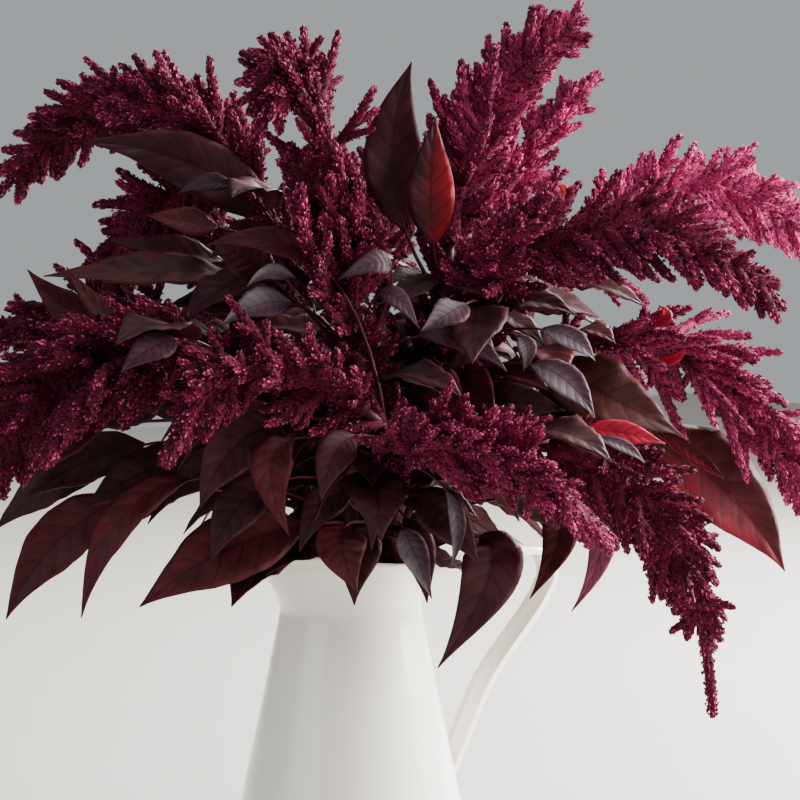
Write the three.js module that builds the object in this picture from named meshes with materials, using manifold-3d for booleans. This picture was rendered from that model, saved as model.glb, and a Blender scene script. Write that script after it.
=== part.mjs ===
// Cut stems of dark red amaranth standing in a white enamelled pitcher of water.
// Millimetres, +Z up. The origin is the middle of the pitcher's flat bottom, the handle points along +X
// and the spout along -X. The bouquet is laid out facing a viewer who looks at the pitcher with the handle
// behind it on the right, so its group is turned about Z by viewTurn.
import * as THREE from "three";
import { mergeVertices } from "three/addons/utils/BufferGeometryUtils.js";
import Module from "manifold-3d";

const wasm = await Module();
wasm.setup();

// Driving dimensions of the pitcher
const baseRadius = 89;
const footRounding = 6;
const neckRadius = 45.5;
const neckHeight = 211;
const rimHeight = 243; // on the handle's side
const spoutRise = 12; // how much higher the rim is at the spout's tip
const spoutReach = 24; // how far the spout's tip stands out past the round mouth
const mouthFlare = 3.5;
const wall = 1.5;
const rimBead = 1.3; // how far the rolled rim stands out of the sheet
const pitcherSides = 32;
const strapWidth = 20;
const strapThickness = 2.6;
const strapLip = 2.8; // the depth of the strap's turned-in edges
const gap = 0.3; // what separate pieces that rest on each other keep between them

// Driving dimensions of the water and the stems in it
const waterHeight = 148;
const waterSides = 20;
const holeSlack = 0.5;
const stemRadius = { foot: 4, top: 3 };
const stemSides = 5;
const stemRings = 7; // above the neck
const ringWaist = { inner: 14, outer: 31 }; // how far from the axis the stems pass the neck
const ringSpread = { inner: 26, outer: 58 }; // how far each foot lies behind that
const freeFrom = 238; // where a stem begins to bend away from its straight foot

// Driving dimensions of the flower heads and leaves
const headRings = 9;
const headSides = 4;
const headRadius = 15;
const spikeCount = { front: 16, back: 12 };
const spikeSides = 3;
const spikeRadius = 7.4;
const spikeFrom = 0.03; // share of the head's length where the side spikes begin
const spikeTo = 0.8; // and where they end, which leaves the bare tail
const backFrom = 80; // heads that begin further back than this have fewer spikes
const knobbing = 0.12; // share by which rings of florets stand in and out
const bladeThickness = 1.7;
const bladeRings = { large: 5, small: 3 };
const smallBlade = 25; // width below which a blade has fewer rings
const bladeFold = 0.2; // how far the two halves rise from the midrib, as a share of the half width
const bladeWave = 0.1;
const petioleRadius = 1.6;
const broadestAt = 0.4; // share of a blade's length
const clearance = 1.8; // what different stems keep between them
const ballSpacing = 5; // of the balls that stand for leaves when stems are kept apart
const goldenAngle = 2.39996;
const viewTurn = -35;

// Each stem: name, ring in the neck, turn of its slant in degrees, then its flower head's base, bend and tip,
// the length of its longest side spikes, how much those lift (+) or hang (-), and how many leaves grow by rule.
const stems = [
  ["back_left", "inner", 146, [-60, 40, 480], [-145, 85, 600], [-250, 120, 478], 52, 0.35, 2],
  ["top_left", "inner", -76, [2, -62, 402], [-18, -56, 635], [-56, -86, 512], 52, 0.1, 2],
  ["top_right", "inner", -20, [65, -15, 450], [75, 0, 555], [155, 10, 595], 50, 0.5, 2],
  ["top_back", "inner", 32, [85, 60, 455], [110, 85, 510], [170, 115, 565], 48, 0.2, 3],
  ["crown_back", "inner", 80, [20, 110, 440], [10, 165, 515], [-20, 225, 485], 50, 0.2, 3],
  ["left_low", "outer", -145, [-100, -55, 380], [-180, -75, 395], [-230, -70, 305], 58, -0.4, 2],
  ["front_left", "outer", -100, [10, -95, 350], [-75, -135, 415], [-105, -150, 320], 50, 0.1, 2],
  ["front_low", "outer", -72, [30, -110, 330], [85, -150, 350], [160, -175, 275], 48, 0.2, 2],
  ["right_droop", "outer", -46, [125, -85, 325], [215, -115, 315], [225, -105, 160], 52, -0.2, 2],
  ["right_mid", "outer", -27, [105, -35, 435], [180, -70, 495], [270, -85, 410], 52, 0, 2],
  ["right_low", "outer", 0, [155, -5, 385], [260, 10, 395], [305, 10, 265], 68, -0.4, 2],
  ["right_back", "outer", 20, [160, 70, 450], [255, 110, 525], [330, 125, 435], 52, 0.2, 3],
  ["back_right", "outer", 46, [105, 140, 415], [150, 205, 455], [215, 265, 400], 54, 0, 3],
  ["back_low", "outer", 76, [20, 150, 370], [5, 225, 395], [-20, 290, 305], 52, -0.2, 4],
  ["back_left_low", "outer", 102, [-60, 130, 385], [-100, 190, 410], [-155, 235, 340], 52, 0, 4],
  ["left_back", "outer", 130, [-65, 90, 440], [-135, 130, 475], [-185, 150, 400], 50, -0.3, 3],
  ["left_mid", "outer", 172, [-110, 20, 395], [-180, 40, 415], [-260, 55, 375], 56, -0.1, 2],
];

// Leaves that show best: the stem, the leaf's broadest point and its tip, its width, and by how many degrees
// its upper side is turned from straight up to the viewer
const namedLeaves = [
  ["back_left", [-90, 28, 494], [-175, 35, 515], 40, 75],
  ["left_back", [-121, 5, 432], [-200, 5, 428], 32, 45],
  ["left_mid", [-176, 14, 412], [-210, 20, 445], 26, 60],
  ["left_low", [-68, -78, 264], [-130, -80, 225], 46, 70],
  ["left_low", [-134, -87, 288], [-165, -90, 220], 26, 50],
  ["left_low", [-180, -37, 266], [-220, -40, 210], 38, 70],
  ["left_mid", [-105, 20, 310], [-155, 30, 250], 34, 60],
  ["right_low", [236, 26, 296], [290, 30, 230], 58, 70],
  ["right_low", [154, -47, 360], [210, -55, 330], 46, 65],
  ["right_mid", [131, -90, 362], [152, -95, 337], 22, 60],
  ["right_mid", [136, -80, 386], [153, -80, 371], 16, 60],
  ["right_mid", [117, -85, 389], [115, -88, 373], 12, 60],
  ["right_mid", [64, -95, 410], [45, -100, 398], 22, 50],
  ["top_left", [75, -70, 405], [110, -80, 385], 24, 50],
  ["top_left", [34, -75, 440], [45, -85, 418], 14, 60],
  ["top_right", [28, -20, 500], [40, -25, 565], 38, 80],
  ["top_right", [52, -40, 480], [55, -35, 530], 30, 80],
  ["top_left", [-50, -92, 415], [-76, -100, 402], 24, 50],
  ["top_left", [-40, -80, 431], [-57, -85, 423], 12, 50],
  ["left_low", [-115, -110, 390], [-135, -125, 375], 22, 60],
  ["front_left", [-4, -85, 266], [6, -85, 235], 32, 75],
  ["front_left", [40, -100, 265], [52, -104, 234], 18, 75],
  ["front_low", [65, -140, 300], [60, -145, 270], 12, 75],
  ["right_droop", [90, -88, 246], [56, -88, 180], 38, 80],
  ["front_left", [-45, -110, 320], [-35, -115, 275], 26, 75],
  ["front_left", [-65, -95, 330], [-90, -105, 290], 34, 75],
  ["front_left", [-5, -120, 320], [-15, -130, 290], 24, 75],
  ["right_droop", [135, -40, 270], [115, -50, 225], 24, 75],
  ["right_droop", [160, -60, 270], [140, -70, 220], 18, 75],
  ["right_droop", [175, -60, 330], [195, -70, 315], 20, 60],
  ["right_low", [220, -15, 315], [240, -30, 300], 12, 60],
  ["right_low", [205, -25, 403], [201, -25, 411], 9, 60],
  ["right_low", [214, -10, 387], [225, -10, 395], 10, 60],
  ["right_mid", [135, 10, 480], [105, 0, 465], 20, 60],
  ["back_left", [-101, -30, 464], [-128, -30, 468], 20, 60],
  ["back_left", [-89, -5, 489], [-111, 0, 482], 14, 60],
  ["top_left", [-62, -50, 439], [-85, -50, 451], 28, 60],
  ["left_mid", [-121, -30, 400], [-113, -30, 383], 16, 60],
  ["top_left", [20, -95, 440], [-5, -105, 430], 18, 60],
  ["left_low", [-190, 0, 295], [-235, 10, 260], 30, 60],
  ["left_low", [-195, -20, 370], [-240, -10, 350], 26, 60],
];

// Vectors and curves
const vec = (x, y, z) => new THREE.Vector3(x, y, z);
const up = vec(0, 0, 1);
const toViewer = vec(0, -1, 0.09);
const radians = THREE.MathUtils.degToRad;

// Points on a Bezier curve through three or four controls, each with its direction.
function curvePath(controls, count, from = 0, to = 1) {
  const Curve = controls.length === 3 ? THREE.QuadraticBezierCurve3 : THREE.CubicBezierCurve3;
  const curve = new Curve(...controls);
  return Array.from({ length: count }, (_, k) => {
    const t = from + ((to - from) * k) / (count - 1);
    return { at: curve.getPoint(t), along: curve.getTangent(t) };
  });
}

// Even draws from 0 to 1, the same on every run.
function drawsFrom(seed) {
  let state = seed;
  return () => {
    state = (state * 1664525 + 1013904223) % 4294967296;
    return state / 4294967296;
  };
}

// What a limb keeps clear of others is a row of balls along it.
const taken = [];

function isClear(balls, skip) {
  return !taken.some(
    (other) =>
      !skip(other) &&
      balls.some((ball) => {
        const reach = ball.radius + other.radius + clearance;
        return ball.at.distanceToSquared(other.at) < reach * reach;
      }),
  );
}

function limbBalls(path, radius, node, kind) {
  return path.map((ring) => ({ at: ring.at, radius, node, kind }));
}

// Stems: straight from the pitcher's floor to the mouth, slanting past its axis, then bent to the head's base.
function stemFrame([, ring, turn]) {
  const slant = radians(turn);
  const lean = vec(Math.cos(slant), Math.sin(slant), 0);
  const aside = vec(-Math.sin(slant), Math.cos(slant), 0);
  const waist = aside.clone().multiplyScalar(ringWaist[ring]).setZ(neckHeight);
  const along = lean.clone().multiplyScalar(ringSpread[ring]).setZ(neckHeight).normalize();
  const pointAt = (z) => waist.clone().addScaledVector(along, (z - neckHeight) / along.z);
  return { lean, aside, along, pointAt };
}

function stemPath(stem, count = stemRings) {
  const [, , , base, bend] = stem;
  const { along, pointAt } = stemFrame(stem);
  const start = pointAt(freeFrom);
  const end = vec(...base);
  const headWay = vec(...bend).sub(end).normalize();
  const span = start.distanceTo(end);
  const last = end.clone().addScaledVector(headWay, -gap);
  const free = curvePath(
    [
      start,
      start.clone().addScaledVector(along, 0.4 * span),
      last.clone().addScaledVector(headWay, -0.35 * span),
      last,
    ],
    count,
  );
  const floor = wall + gap;
  const foot = { at: pointAt(floor), along: up };
  return [foot, { at: pointAt(waterHeight), along }, ...free];
}

// Flower heads: a tapering axis and side spikes set round it by the golden angle.
const headControls = ([, , , base, bend, tip]) => [vec(...base), vec(...bend), vec(...tip)];

// The axis is full at its foot and runs out into a slender tail.
const headFullness = (t) => Math.min(1, 0.5 + 5 * t) * (1 - t) ** 0.85;

function headSpikes(stem, index) {
  const [name, , , base, , , longest, lift] = stem;
  const node = "head_" + name;
  const draw = drawsFrom(1000 + 77 * index);
  const controls = headControls(stem);
  const curve = new THREE.QuadraticBezierCurve3(...controls);
  const aside = sidewaysOf(controls);
  const spikes = [];
  const count = spikeCount[base[1] > backFrom ? "back" : "front"];
  for (let i = 0; i < count; i++) {
    const s = i / (count - 1);
    const t = spikeFrom + (spikeTo - spikeFrom) * s;
    const size = longest * Math.min(1, 0.75 + s) * (1 - 0.72 * s ** 2) * (0.85 + 0.3 * draw());
    const turn = i * goldenAngle + index + 0.5 * draw();
    const opening = radians(66 - 28 * s);
    const root = curve.getPoint(t);
    const along = curve.getTangent(t);
    const across = along.clone().cross(aside);
    for (const [share, swing] of [[1, 0], [1, 0.35], [1, -0.35], [0.7, 0], [0.7, 0.5], [0.7, -0.5], [0.5, 0]]) {
      const length = size * share;
      const outward = aside
        .clone()
        .multiplyScalar(Math.cos(turn + swing))
        .addScaledVector(across, Math.sin(turn + swing));
      const way = along.clone().multiplyScalar(Math.cos(opening)).addScaledVector(outward, Math.sin(opening));
      const tip = root
        .clone()
        .addScaledVector(way, length)
        .addScaledVector(along, 0.16 * length)
        .addScaledVector(up, 0.45 * lift * length);
      const path = curvePath([root, root.clone().addScaledVector(way, 0.55 * length), tip], 7);
      const balls = limbBalls(path.slice(1), spikeRadius * 0.85, node, "spike");
      if (!isClear(balls, (other) => other.node === node)) continue;
      taken.push(...balls);
      spikes.push({ controls: [root, root.clone().addScaledVector(way, 0.55 * length), tip], size: length, s });
      break;
    }
  }
  return spikes;
}

// The direction square to the plane of a curve's three controls.
function sidewaysOf([a, b, c]) {
  const across = b.clone().sub(a).cross(c.clone().sub(b));
  return across.lengthSq() > 1e-6 ? across.normalize() : b.clone().sub(a).cross(up).normalize();
}

// Leaves: a midrib from the stem through the blade's broadest point to its tip, with the blade on its outer part.
function leafOf(root, broadest, tip, width, facing) {
  const before = root.distanceTo(broadest);
  const beyond = broadest.distanceTo(tip);
  const t = THREE.MathUtils.clamp(before / (before + beyond), 0.3, 0.72);
  const bend = broadest.clone().addScaledVector(root, -((1 - t) ** 2)).addScaledVector(tip, -t * t);
  bend.multiplyScalar(1 / (2 * t * (1 - t)));
  const petiole = Math.max(0.12, t - (broadestAt / (1 - broadestAt)) * (1 - t));
  return { controls: [root, bend, tip], width, facing, petiole };
}

// The way the blade's upper side looks at one place of its midrib.
function bladeNormal(leaf, ring) {
  return leaf.facing.clone().addScaledVector(ring.along, -leaf.facing.dot(ring.along)).normalize();
}

// Half the blade's width at a share of its length: widest below the middle, with a drawn-out point.
const bladeShare = (t) => Math.sin(Math.PI * t ** 0.78) ** 1.15;

function leafBalls(leaf, node) {
  const balls = [];
  const [root, bend, tip] = leaf.controls;
  const count = Math.ceil((root.distanceTo(bend) + bend.distanceTo(tip)) / ballSpacing);
  const path = curvePath(leaf.controls, count, 0.1, 1);
  path.forEach((ring, k) => {
    const along = 0.1 + (0.9 * k) / (count - 1);
    const t = (along - leaf.petiole) / (1 - leaf.petiole);
    const half = t > 0 && t < 1 ? 0.5 * leaf.width * bladeShare(t) : 0;
    const normal = bladeNormal(leaf, ring);
    const side = ring.along.clone().cross(normal);
    const steps = Math.round(half / ballSpacing);
    for (let i = -steps; i <= steps; i++) {
      const out = steps ? (half * i) / steps : 0;
      const at = ring.at.clone().addScaledVector(side, out * 0.9).addScaledVector(normal, Math.abs(out) * bladeFold);
      balls.push({ at, radius: half ? 3.4 : petioleRadius, node, kind: along < 0.3 ? "petiole" : "blade" });
    }
  });
  return balls;
}

function placeLeaf(stem, choices) {
  const node = "stem_" + stem[0];
  for (const leaf of choices) {
    const balls = leafBalls(leaf, node);
    if (!isClear(balls, (other) => other.node === node && other.kind !== "blade")) continue;
    taken.push(...balls);
    return leaf;
  }
  return null;
}

// The stem point that a leaf grows from is the nearest one below its shoulder.
function rootFor(path, shoulder) {
  const rings = path.slice(2, -1);
  return rings.reduce((best, ring) => {
    const reach = (r) => r.at.distanceTo(shoulder) + Math.max(0, r.at.z - shoulder.z);
    return reach(ring) < reach(best) ? ring : best;
  }).at;
}

function namedLeaf(stem, path, [, shoulder, tip, width, roll]) {
  const from = vec(...shoulder);
  const root = rootFor(path, from);
  const facing = up.clone().multiplyScalar(Math.cos(radians(roll))).addScaledVector(toViewer, Math.sin(radians(roll)));
  const choices = [];
  for (const [swing, lift, share] of [
    [0, 0, 1], [0, 8, 1], [0, -8, 1], [5, 0, 1], [-5, 0, 1], [0, 16, 1], [0, -16, 1], [10, 0, 1], [-10, 0, 1],
    [8, 12, 0.85], [-8, 12, 0.85], [8, -12, 0.85], [-8, -12, 0.85], [16, 0, 0.85], [-16, 0, 0.85],
    [0, 24, 0.75], [14, 20, 0.75], [-14, 20, 0.75], [20, -10, 0.65], [-20, -10, 0.65],
  ]) {
    const turned = [from, vec(...tip)].map((p) =>
      p.clone().sub(root).multiplyScalar(share ** 0.5).applyAxisAngle(up, radians(swing)).add(root).setZ(p.z + lift),
    );
    choices.push(leafOf(root, turned[0], turned[1], width * share, facing));
  }
  return placeLeaf(stem, choices);
}

// Leaves by rule: set round the free stem by the golden angle, larger lower down.
function ruledLeaves(stem, path, index) {
  const count = stem[8];
  const draw = drawsFrom(5000 + 31 * index);
  const found = [];
  for (let i = 0; i < count; i++) {
    const share = (i + 0.2) / count;
    const ring = path[Math.min(path.length - 2, 3 + Math.round(share * (path.length - 5)))];
    const length = (115 - 40 * share) * (0.85 + 0.3 * draw());
    const turn = i * goldenAngle + 2 * index + draw();
    const roll = (i % 2 ? 1 : -1) * (0.3 + 0.6 * draw());
    const choices = [];
    for (const shorter of [1, 0.75, 0.55]) {
      for (const swing of [0, 0.4, -0.4, 0.8, -0.8, 1.3, -1.3, 1.9, -1.9, 2.5, -2.5, 3.1]) {
        const outward = vec(Math.cos(turn + swing), Math.sin(turn + swing), 0);
        const size = length * shorter;
        const shoulder = ring.at.clone().addScaledVector(outward, 0.45 * size).addScaledVector(up, 0.16 * size);
        const tip = ring.at.clone().addScaledVector(outward, 0.98 * size).addScaledVector(up, -0.22 * size);
        const facing = up.clone().addScaledVector(outward, 0.4).applyAxisAngle(outward, roll);
        choices.push(leafOf(ring.at, shoulder, tip, 0.4 * size, facing));
      }
    }
    found.push(placeLeaf(stem, choices));
  }
  return found.filter(Boolean);
}

// Solids
function solidOf(geometry) {
  const bare = geometry.clone();
  bare.deleteAttribute("normal");
  bare.deleteAttribute("uv");
  const merged = mergeVertices(bare, 1e-4);
  const corners = merged.index.array;
  const kept = [];
  for (let i = 0; i < corners.length; i += 3) {
    const [a, b, c] = corners.slice(i, i + 3);
    if (a !== b && b !== c && a !== c) kept.push(a, b, c);
  }
  const vertProperties = new Float32Array(merged.attributes.position.array);
  return new wasm.Manifold(new wasm.Mesh({ numProp: 3, vertProperties, triVerts: new Uint32Array(kept) }));
}

function geometryOf(solid) {
  const { vertProperties, triVerts } = solid.getMesh();
  const geometry = new THREE.BufferGeometry();
  geometry.setAttribute("position", new THREE.BufferAttribute(new Float32Array(vertProperties), 3));
  geometry.setIndex(new THREE.BufferAttribute(new Uint32Array(triVerts), 1));
  geometry.computeVertexNormals();
  return geometry;
}

const joined = (solids) => solids.reduce((whole, next) => whole.add(next));

// A lathe whose rings are set across a path one by one; place(ring, x, z, number) says where a ring's point goes.
function latheAlong(path, radii, sides, place) {
  const profile = radii.map((radius, k) => new THREE.Vector2(radius, k));
  const geometry = new THREE.LatheGeometry(profile, sides);
  const points = geometry.attributes.position;
  for (let i = 0; i < points.count; i++) {
    const number = Math.round(points.getY(i));
    const at = place(path[number], points.getX(i), points.getZ(i), number);
    points.setXYZ(i, at.x, at.y, at.z);
  }
  return geometry;
}

// A round limb along a path, each ring turned on by half a side so that it reads as rows of knobs.
function roundLimb(path, radii, sides, aside, twisted = true) {
  return latheAlong(path, radii, sides, (ring, x, z, number) => {
    const side = aside.clone().addScaledVector(ring.along, -aside.dot(ring.along)).normalize();
    const across = side.clone().cross(ring.along);
    const turn = twisted ? (number * Math.PI) / sides : 0;
    return ring.at
      .clone()
      .addScaledVector(side, x * Math.cos(turn) + z * Math.sin(turn))
      .addScaledVector(across, z * Math.cos(turn) - x * Math.sin(turn));
  });
}

function stemSolid(stem, path) {
  const { aside } = stemFrame(stem);
  const rings = [path[0], ...path, path[path.length - 1]];
  const radii = rings.map((_, k) => THREE.MathUtils.lerp(stemRadius.foot, stemRadius.top, k / (rings.length - 1)));
  radii[0] = 0;
  radii[radii.length - 1] = 0;
  return solidOf(roundLimb(rings, radii, stemSides, aside, false));
}

function headSolid(stem, spikes) {
  const controls = headControls(stem);
  const aside = sidewaysOf(controls);
  const path = curvePath(controls, headRings);
  const outline = path.map((_, k) => {
    const t = k / (headRings - 1);
    return (headRadius * headFullness(t) + 1.2) * (1 + knobbing * (k % 2 ? 1 : -1));
  });
  outline[headRings - 1] = 0;
  const axis = roundLimb([path[0], ...path], [0, ...outline], headSides, aside);
  const parts = spikes.map(({ controls: line, s }) => {
    const thick = spikeRadius * (1 - 0.35 * s);
    const radii = [0, 0.86, 1.08, 0.66, 0].map((share) => share * thick);
    const curve = new THREE.QuadraticBezierCurve3(...line);
    const path = [0, 0.3, 0.62, 0.9, 1].map((t) => ({ at: curve.getPoint(t), along: curve.getTangent(t) }));
    return solidOf(roundLimb(path, radii, spikeSides, sidewaysOf(line)));
  });
  return joined([solidOf(axis), ...parts]);
}

// A blade is a flattened four-sided lathe: two edges and a thicker midrib, with its edges raised and waved.
function leafSolid(leaf) {
  const rings = [0, 0, leaf.petiole];
  const steps = leaf.width < smallBlade ? bladeRings.small : bladeRings.large;
  for (let k = 1; k <= steps; k++) rings.push(leaf.petiole + ((1 - leaf.petiole) * k) / steps);
  const curve = new THREE.QuadraticBezierCurve3(...leaf.controls);
  const path = rings.map((t) => ({ at: curve.getPoint(t), along: curve.getTangent(t) }));
  const closed = rings.map((_, k) => (k > 0 && k < rings.length - 1 ? 1 : 0));
  const geometry = latheAlong(path, closed, 4, (ring, x, z, number) => {
    const t = (rings[number] - leaf.petiole) / (1 - leaf.petiole);
    const onBlade = t > 0;
    const half = onBlade ? 0.5 * leaf.width * bladeShare(t) : petioleRadius;
    const normal = bladeNormal(leaf, ring);
    const side = ring.along.clone().cross(normal);
    const wave = number % 2 ? bladeWave : -bladeWave;
    const rise = onBlade && Math.abs(x) > 0.5 ? half * (bladeFold + wave * Math.sign(x)) : 0;
    const thick = onBlade ? bladeThickness / 2 : petioleRadius;
    return ring.at
      .clone()
      .addScaledVector(side, Math.round(x) * half)
      .addScaledVector(normal, Math.round(z) * thick + rise);
  });
  turnDiagonals(geometry, rings.length);
  return solidOf(geometry);
}

// Splits every quad of a four-sided lathe from its edge to the next midrib point, alike on both faces.
function turnDiagonals(geometry, ringCount) {
  const index = [];
  for (let i = 0; i < 4; i++) {
    for (let j = 0; j < ringCount - 1; j++) {
      const a = i * ringCount + j;
      const b = a + ringCount;
      if (i % 2) index.push(a, b, b + 1, a, b + 1, a + 1);
      else index.push(a, b, a + 1, b + 1, a + 1, b);
    }
  }
  geometry.setIndex(index);
}

// The pitcher: a cone with a rounded foot, drawn up from the neck into a mouth with a wide spout.
function pitcherProfile() {
  const outer = [
    [0, 0],
    [baseRadius - footRounding, 0],
    [baseRadius - 0.3 * footRounding, 0.25 * footRounding],
    [baseRadius, footRounding],
    [neckRadius, neckHeight],
    [neckRadius + 0.3, neckHeight + 10],
    [neckRadius + 1.2, neckHeight + 20],
    [neckRadius + 2, rimHeight - 4],
    [neckRadius + 2 + rimBead, rimHeight - 2.5],
    [neckRadius + 2 + rimBead, rimHeight - 0.5],
    [neckRadius + 1.2, rimHeight],
  ];
  const inner = [
    [neckRadius + 2 - wall, rimHeight - 2.5],
    [neckRadius + 1.2 - wall, neckHeight + 20],
    [neckRadius + 0.3 - wall, neckHeight + 10],
    [neckRadius - wall, neckHeight],
    [baseRadius - wall, footRounding],
    [baseRadius - footRounding, wall],
    [0, wall],
  ];
  return [...outer, ...inner].map(([x, y]) => new THREE.Vector2(x, y));
}

// The mouth's own shape: round at the handle, drawn out and up into the spout at the far side.
function shapeMouth(point) {
  const above = (point.z - neckHeight) / (rimHeight - neckHeight);
  if (above <= 0) return point;
  const round = Math.hypot(point.x, point.y);
  const facing = -point.x / round; // 1 at the spout's middle, -1 at the handle
  const lip = Math.max(0, facing) ** 5;
  const out = (mouthFlare * (0.5 + 0.5 * facing) + spoutReach * lip) * above ** 1.1;
  const z = point.z + spoutRise * (0.5 + 0.5 * facing) ** 2 * above;
  return vec((point.x * (round + out)) / round, (point.y * (round + out)) / round, z);
}

function latheOnZ(profile, sides) {
  return new THREE.LatheGeometry(profile, sides).rotateX(Math.PI / 2);
}

function pitcherBody() {
  const geometry = latheOnZ(pitcherProfile(), pitcherSides);
  const points = geometry.attributes.position;
  for (let i = 0; i < points.count; i++) {
    const at = shapeMouth(vec(points.getX(i), points.getY(i), points.getZ(i)));
    points.setXYZ(i, at.x, at.y, at.z);
  }
  return solidOf(geometry);
}

// The handle: a strap with turned-in edges, from just under the rim, out and round, and down to the cone.
function pitcherHandle() {
  const outAt = (z) => baseRadius - ((baseRadius - neckRadius) * (z - footRounding)) / (neckHeight - footRounding);
  const seat = 80;
  const line = new THREE.CatmullRomCurve3(
    [
      vec(neckRadius - 6, 0, 226),
      vec(neckRadius + 18, 0, 233),
      vec(neckRadius + 84, 0, 240),
      vec(neckRadius + 114, 0, 236),
      vec(neckRadius + 123, 0, 219),
      vec(neckRadius + 113, 0, 199),
      vec(neckRadius + 67, 0, 148),
      vec(outAt(seat) + 10, 0, seat + 14),
      vec(outAt(seat) - 9, 0, seat - 18),
    ],
    false,
    "centripetal",
  );
  const half = strapWidth / 2;
  const section = new THREE.Shape([
    new THREE.Vector2(-half + 1, 0),
    new THREE.Vector2(half - 1, 0),
    new THREE.Vector2(half, strapThickness / 2),
    new THREE.Vector2(half, strapThickness + strapLip),
    new THREE.Vector2(half - 2.6, strapThickness + strapLip),
    new THREE.Vector2(half - 4, strapThickness),
    new THREE.Vector2(-half + 4, strapThickness),
    new THREE.Vector2(-half + 2.6, strapThickness + strapLip),
    new THREE.Vector2(-half, strapThickness + strapLip),
    new THREE.Vector2(-half, strapThickness / 2),
  ]);
  const strap = new THREE.ExtrudeGeometry(section, { steps: 22, bevelEnabled: false, extrudePath: line });
  return solidOf(strap);
}

// The space that a neighbour of the pitcher's outside keeps out of.
function pitcherKeepOut() {
  const profile = [
    [0, -1],
    [baseRadius + gap, -1],
    [baseRadius + gap, footRounding],
    [neckRadius + gap, neckHeight],
    [neckRadius + 0.3 + gap, neckHeight + 10],
    [neckRadius + 1.2 + gap, neckHeight + 20],
    [neckRadius + 2 + gap, rimHeight - 4.2],
    [neckRadius + 2 + rimBead + gap, rimHeight - 2.8],
    [neckRadius + 2 + rimBead + gap, rimHeight + 40],
    [0, rimHeight + 40],
  ].map(([x, y]) => new THREE.Vector2(x, y));
  return solidOf(latheOnZ(profile, pitcherSides));
}

function waterSolid(paths) {
  const insideAt = (z) =>
    baseRadius - wall - gap - ((baseRadius - neckRadius) * (z - footRounding)) / (neckHeight - footRounding);
  const floor = wall + gap;
  const profile = [
    [0, floor],
    [baseRadius - footRounding - gap, floor],
    [insideAt(footRounding), footRounding + gap],
    [insideAt(waterHeight), waterHeight],
    [0, waterHeight],
  ].map(([x, y]) => new THREE.Vector2(x * Math.cos(Math.PI / waterSides), y));
  const holes = paths.map(({ stem }) => {
    const { aside, along, pointAt } = stemFrame(stem);
    const ends = [-5, waterHeight + 5].map((z) => ({ at: pointAt(z), along }));
    const radius = stemRadius.foot + holeSlack;
    return solidOf(roundLimb([ends[0], ...ends, ends[1]], [0, radius, radius, 0], stemSides, aside, false));
  });
  return holes.reduce((water, hole) => water.subtract(hole), solidOf(latheOnZ(profile, waterSides)));
}

// Materials
const enamel = new THREE.MeshStandardMaterial({ color: "#ece7dd", roughness: 0.22 });
const water = new THREE.MeshStandardMaterial({ color: "#c9d6d2", roughness: 0.05, transparent: true, opacity: 0.4 });
const foliage = new THREE.MeshStandardMaterial({ color: "#3a1018", roughness: 0.45 });
const florets = new THREE.MeshStandardMaterial({ color: "#7d1436", roughness: 0.8 });

function addPiece(group, name, solid, material) {
  const mesh = new THREE.Mesh(geometryOf(solid), material.clone());
  mesh.name = name;
  group.add(mesh);
}

// The whole bouquet is planned first, so that every limb knows where the others are.
const paths = stems.map((stem) => ({ stem, path: stemPath(stem), fine: stemPath(stem, 60) }));
for (const { stem, fine } of paths) {
  taken.push(...limbBalls(fine, stemRadius.foot, "stem_" + stem[0], "stem"));
  for (const [k, ring] of curvePath(headControls(stem), 40).entries()) {
    taken.push(...limbBalls([ring], headRadius * headFullness(k / 39) + 2, "head_" + stem[0], "axis"));
  }
}
for (const turn of Array(72).keys()) {
  const at = vec((neckRadius + 4) * Math.cos(radians(5 * turn)), (neckRadius + 4) * Math.sin(radians(5 * turn)), 0);
  for (const z of [232, 238, 244]) taken.push({ at: at.clone().setZ(z), radius: 2.5, node: "pitcher", kind: "rim" });
}
for (const entry of paths) entry.leaves = [];
namedLeaves.forEach((leaf) => {
  const entry = paths.find(({ stem }) => stem[0] === leaf[0]);
  const placed = namedLeaf(entry.stem, entry.path, leaf);
  if (placed) entry.leaves.push(placed);
});
paths.forEach((entry, index) => (entry.spikes = headSpikes(entry.stem, index)));
paths.forEach((entry, index) => entry.leaves.push(...ruledLeaves(entry.stem, entry.path, index)));

const potted = new THREE.Group();
addPiece(potted, "pitcher_body", pitcherBody(), enamel);
addPiece(potted, "pitcher_handle", pitcherHandle().subtract(pitcherKeepOut()), enamel);

const bouquet = new THREE.Group();
bouquet.rotation.z = radians(viewTurn);
addPiece(bouquet, "water", waterSolid(paths), water);
for (const { stem, path, leaves, spikes } of paths) {
  addPiece(bouquet, "stem_" + stem[0], joined([stemSolid(stem, path), ...leaves.map(leafSolid)]), foliage);
  addPiece(bouquet, "head_" + stem[0], headSolid(stem, spikes), florets);
}
potted.add(bouquet);

export default potted;
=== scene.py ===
import math
import bmesh
import bpy
import numpy as np
from mathutils import Matrix, Vector


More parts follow.
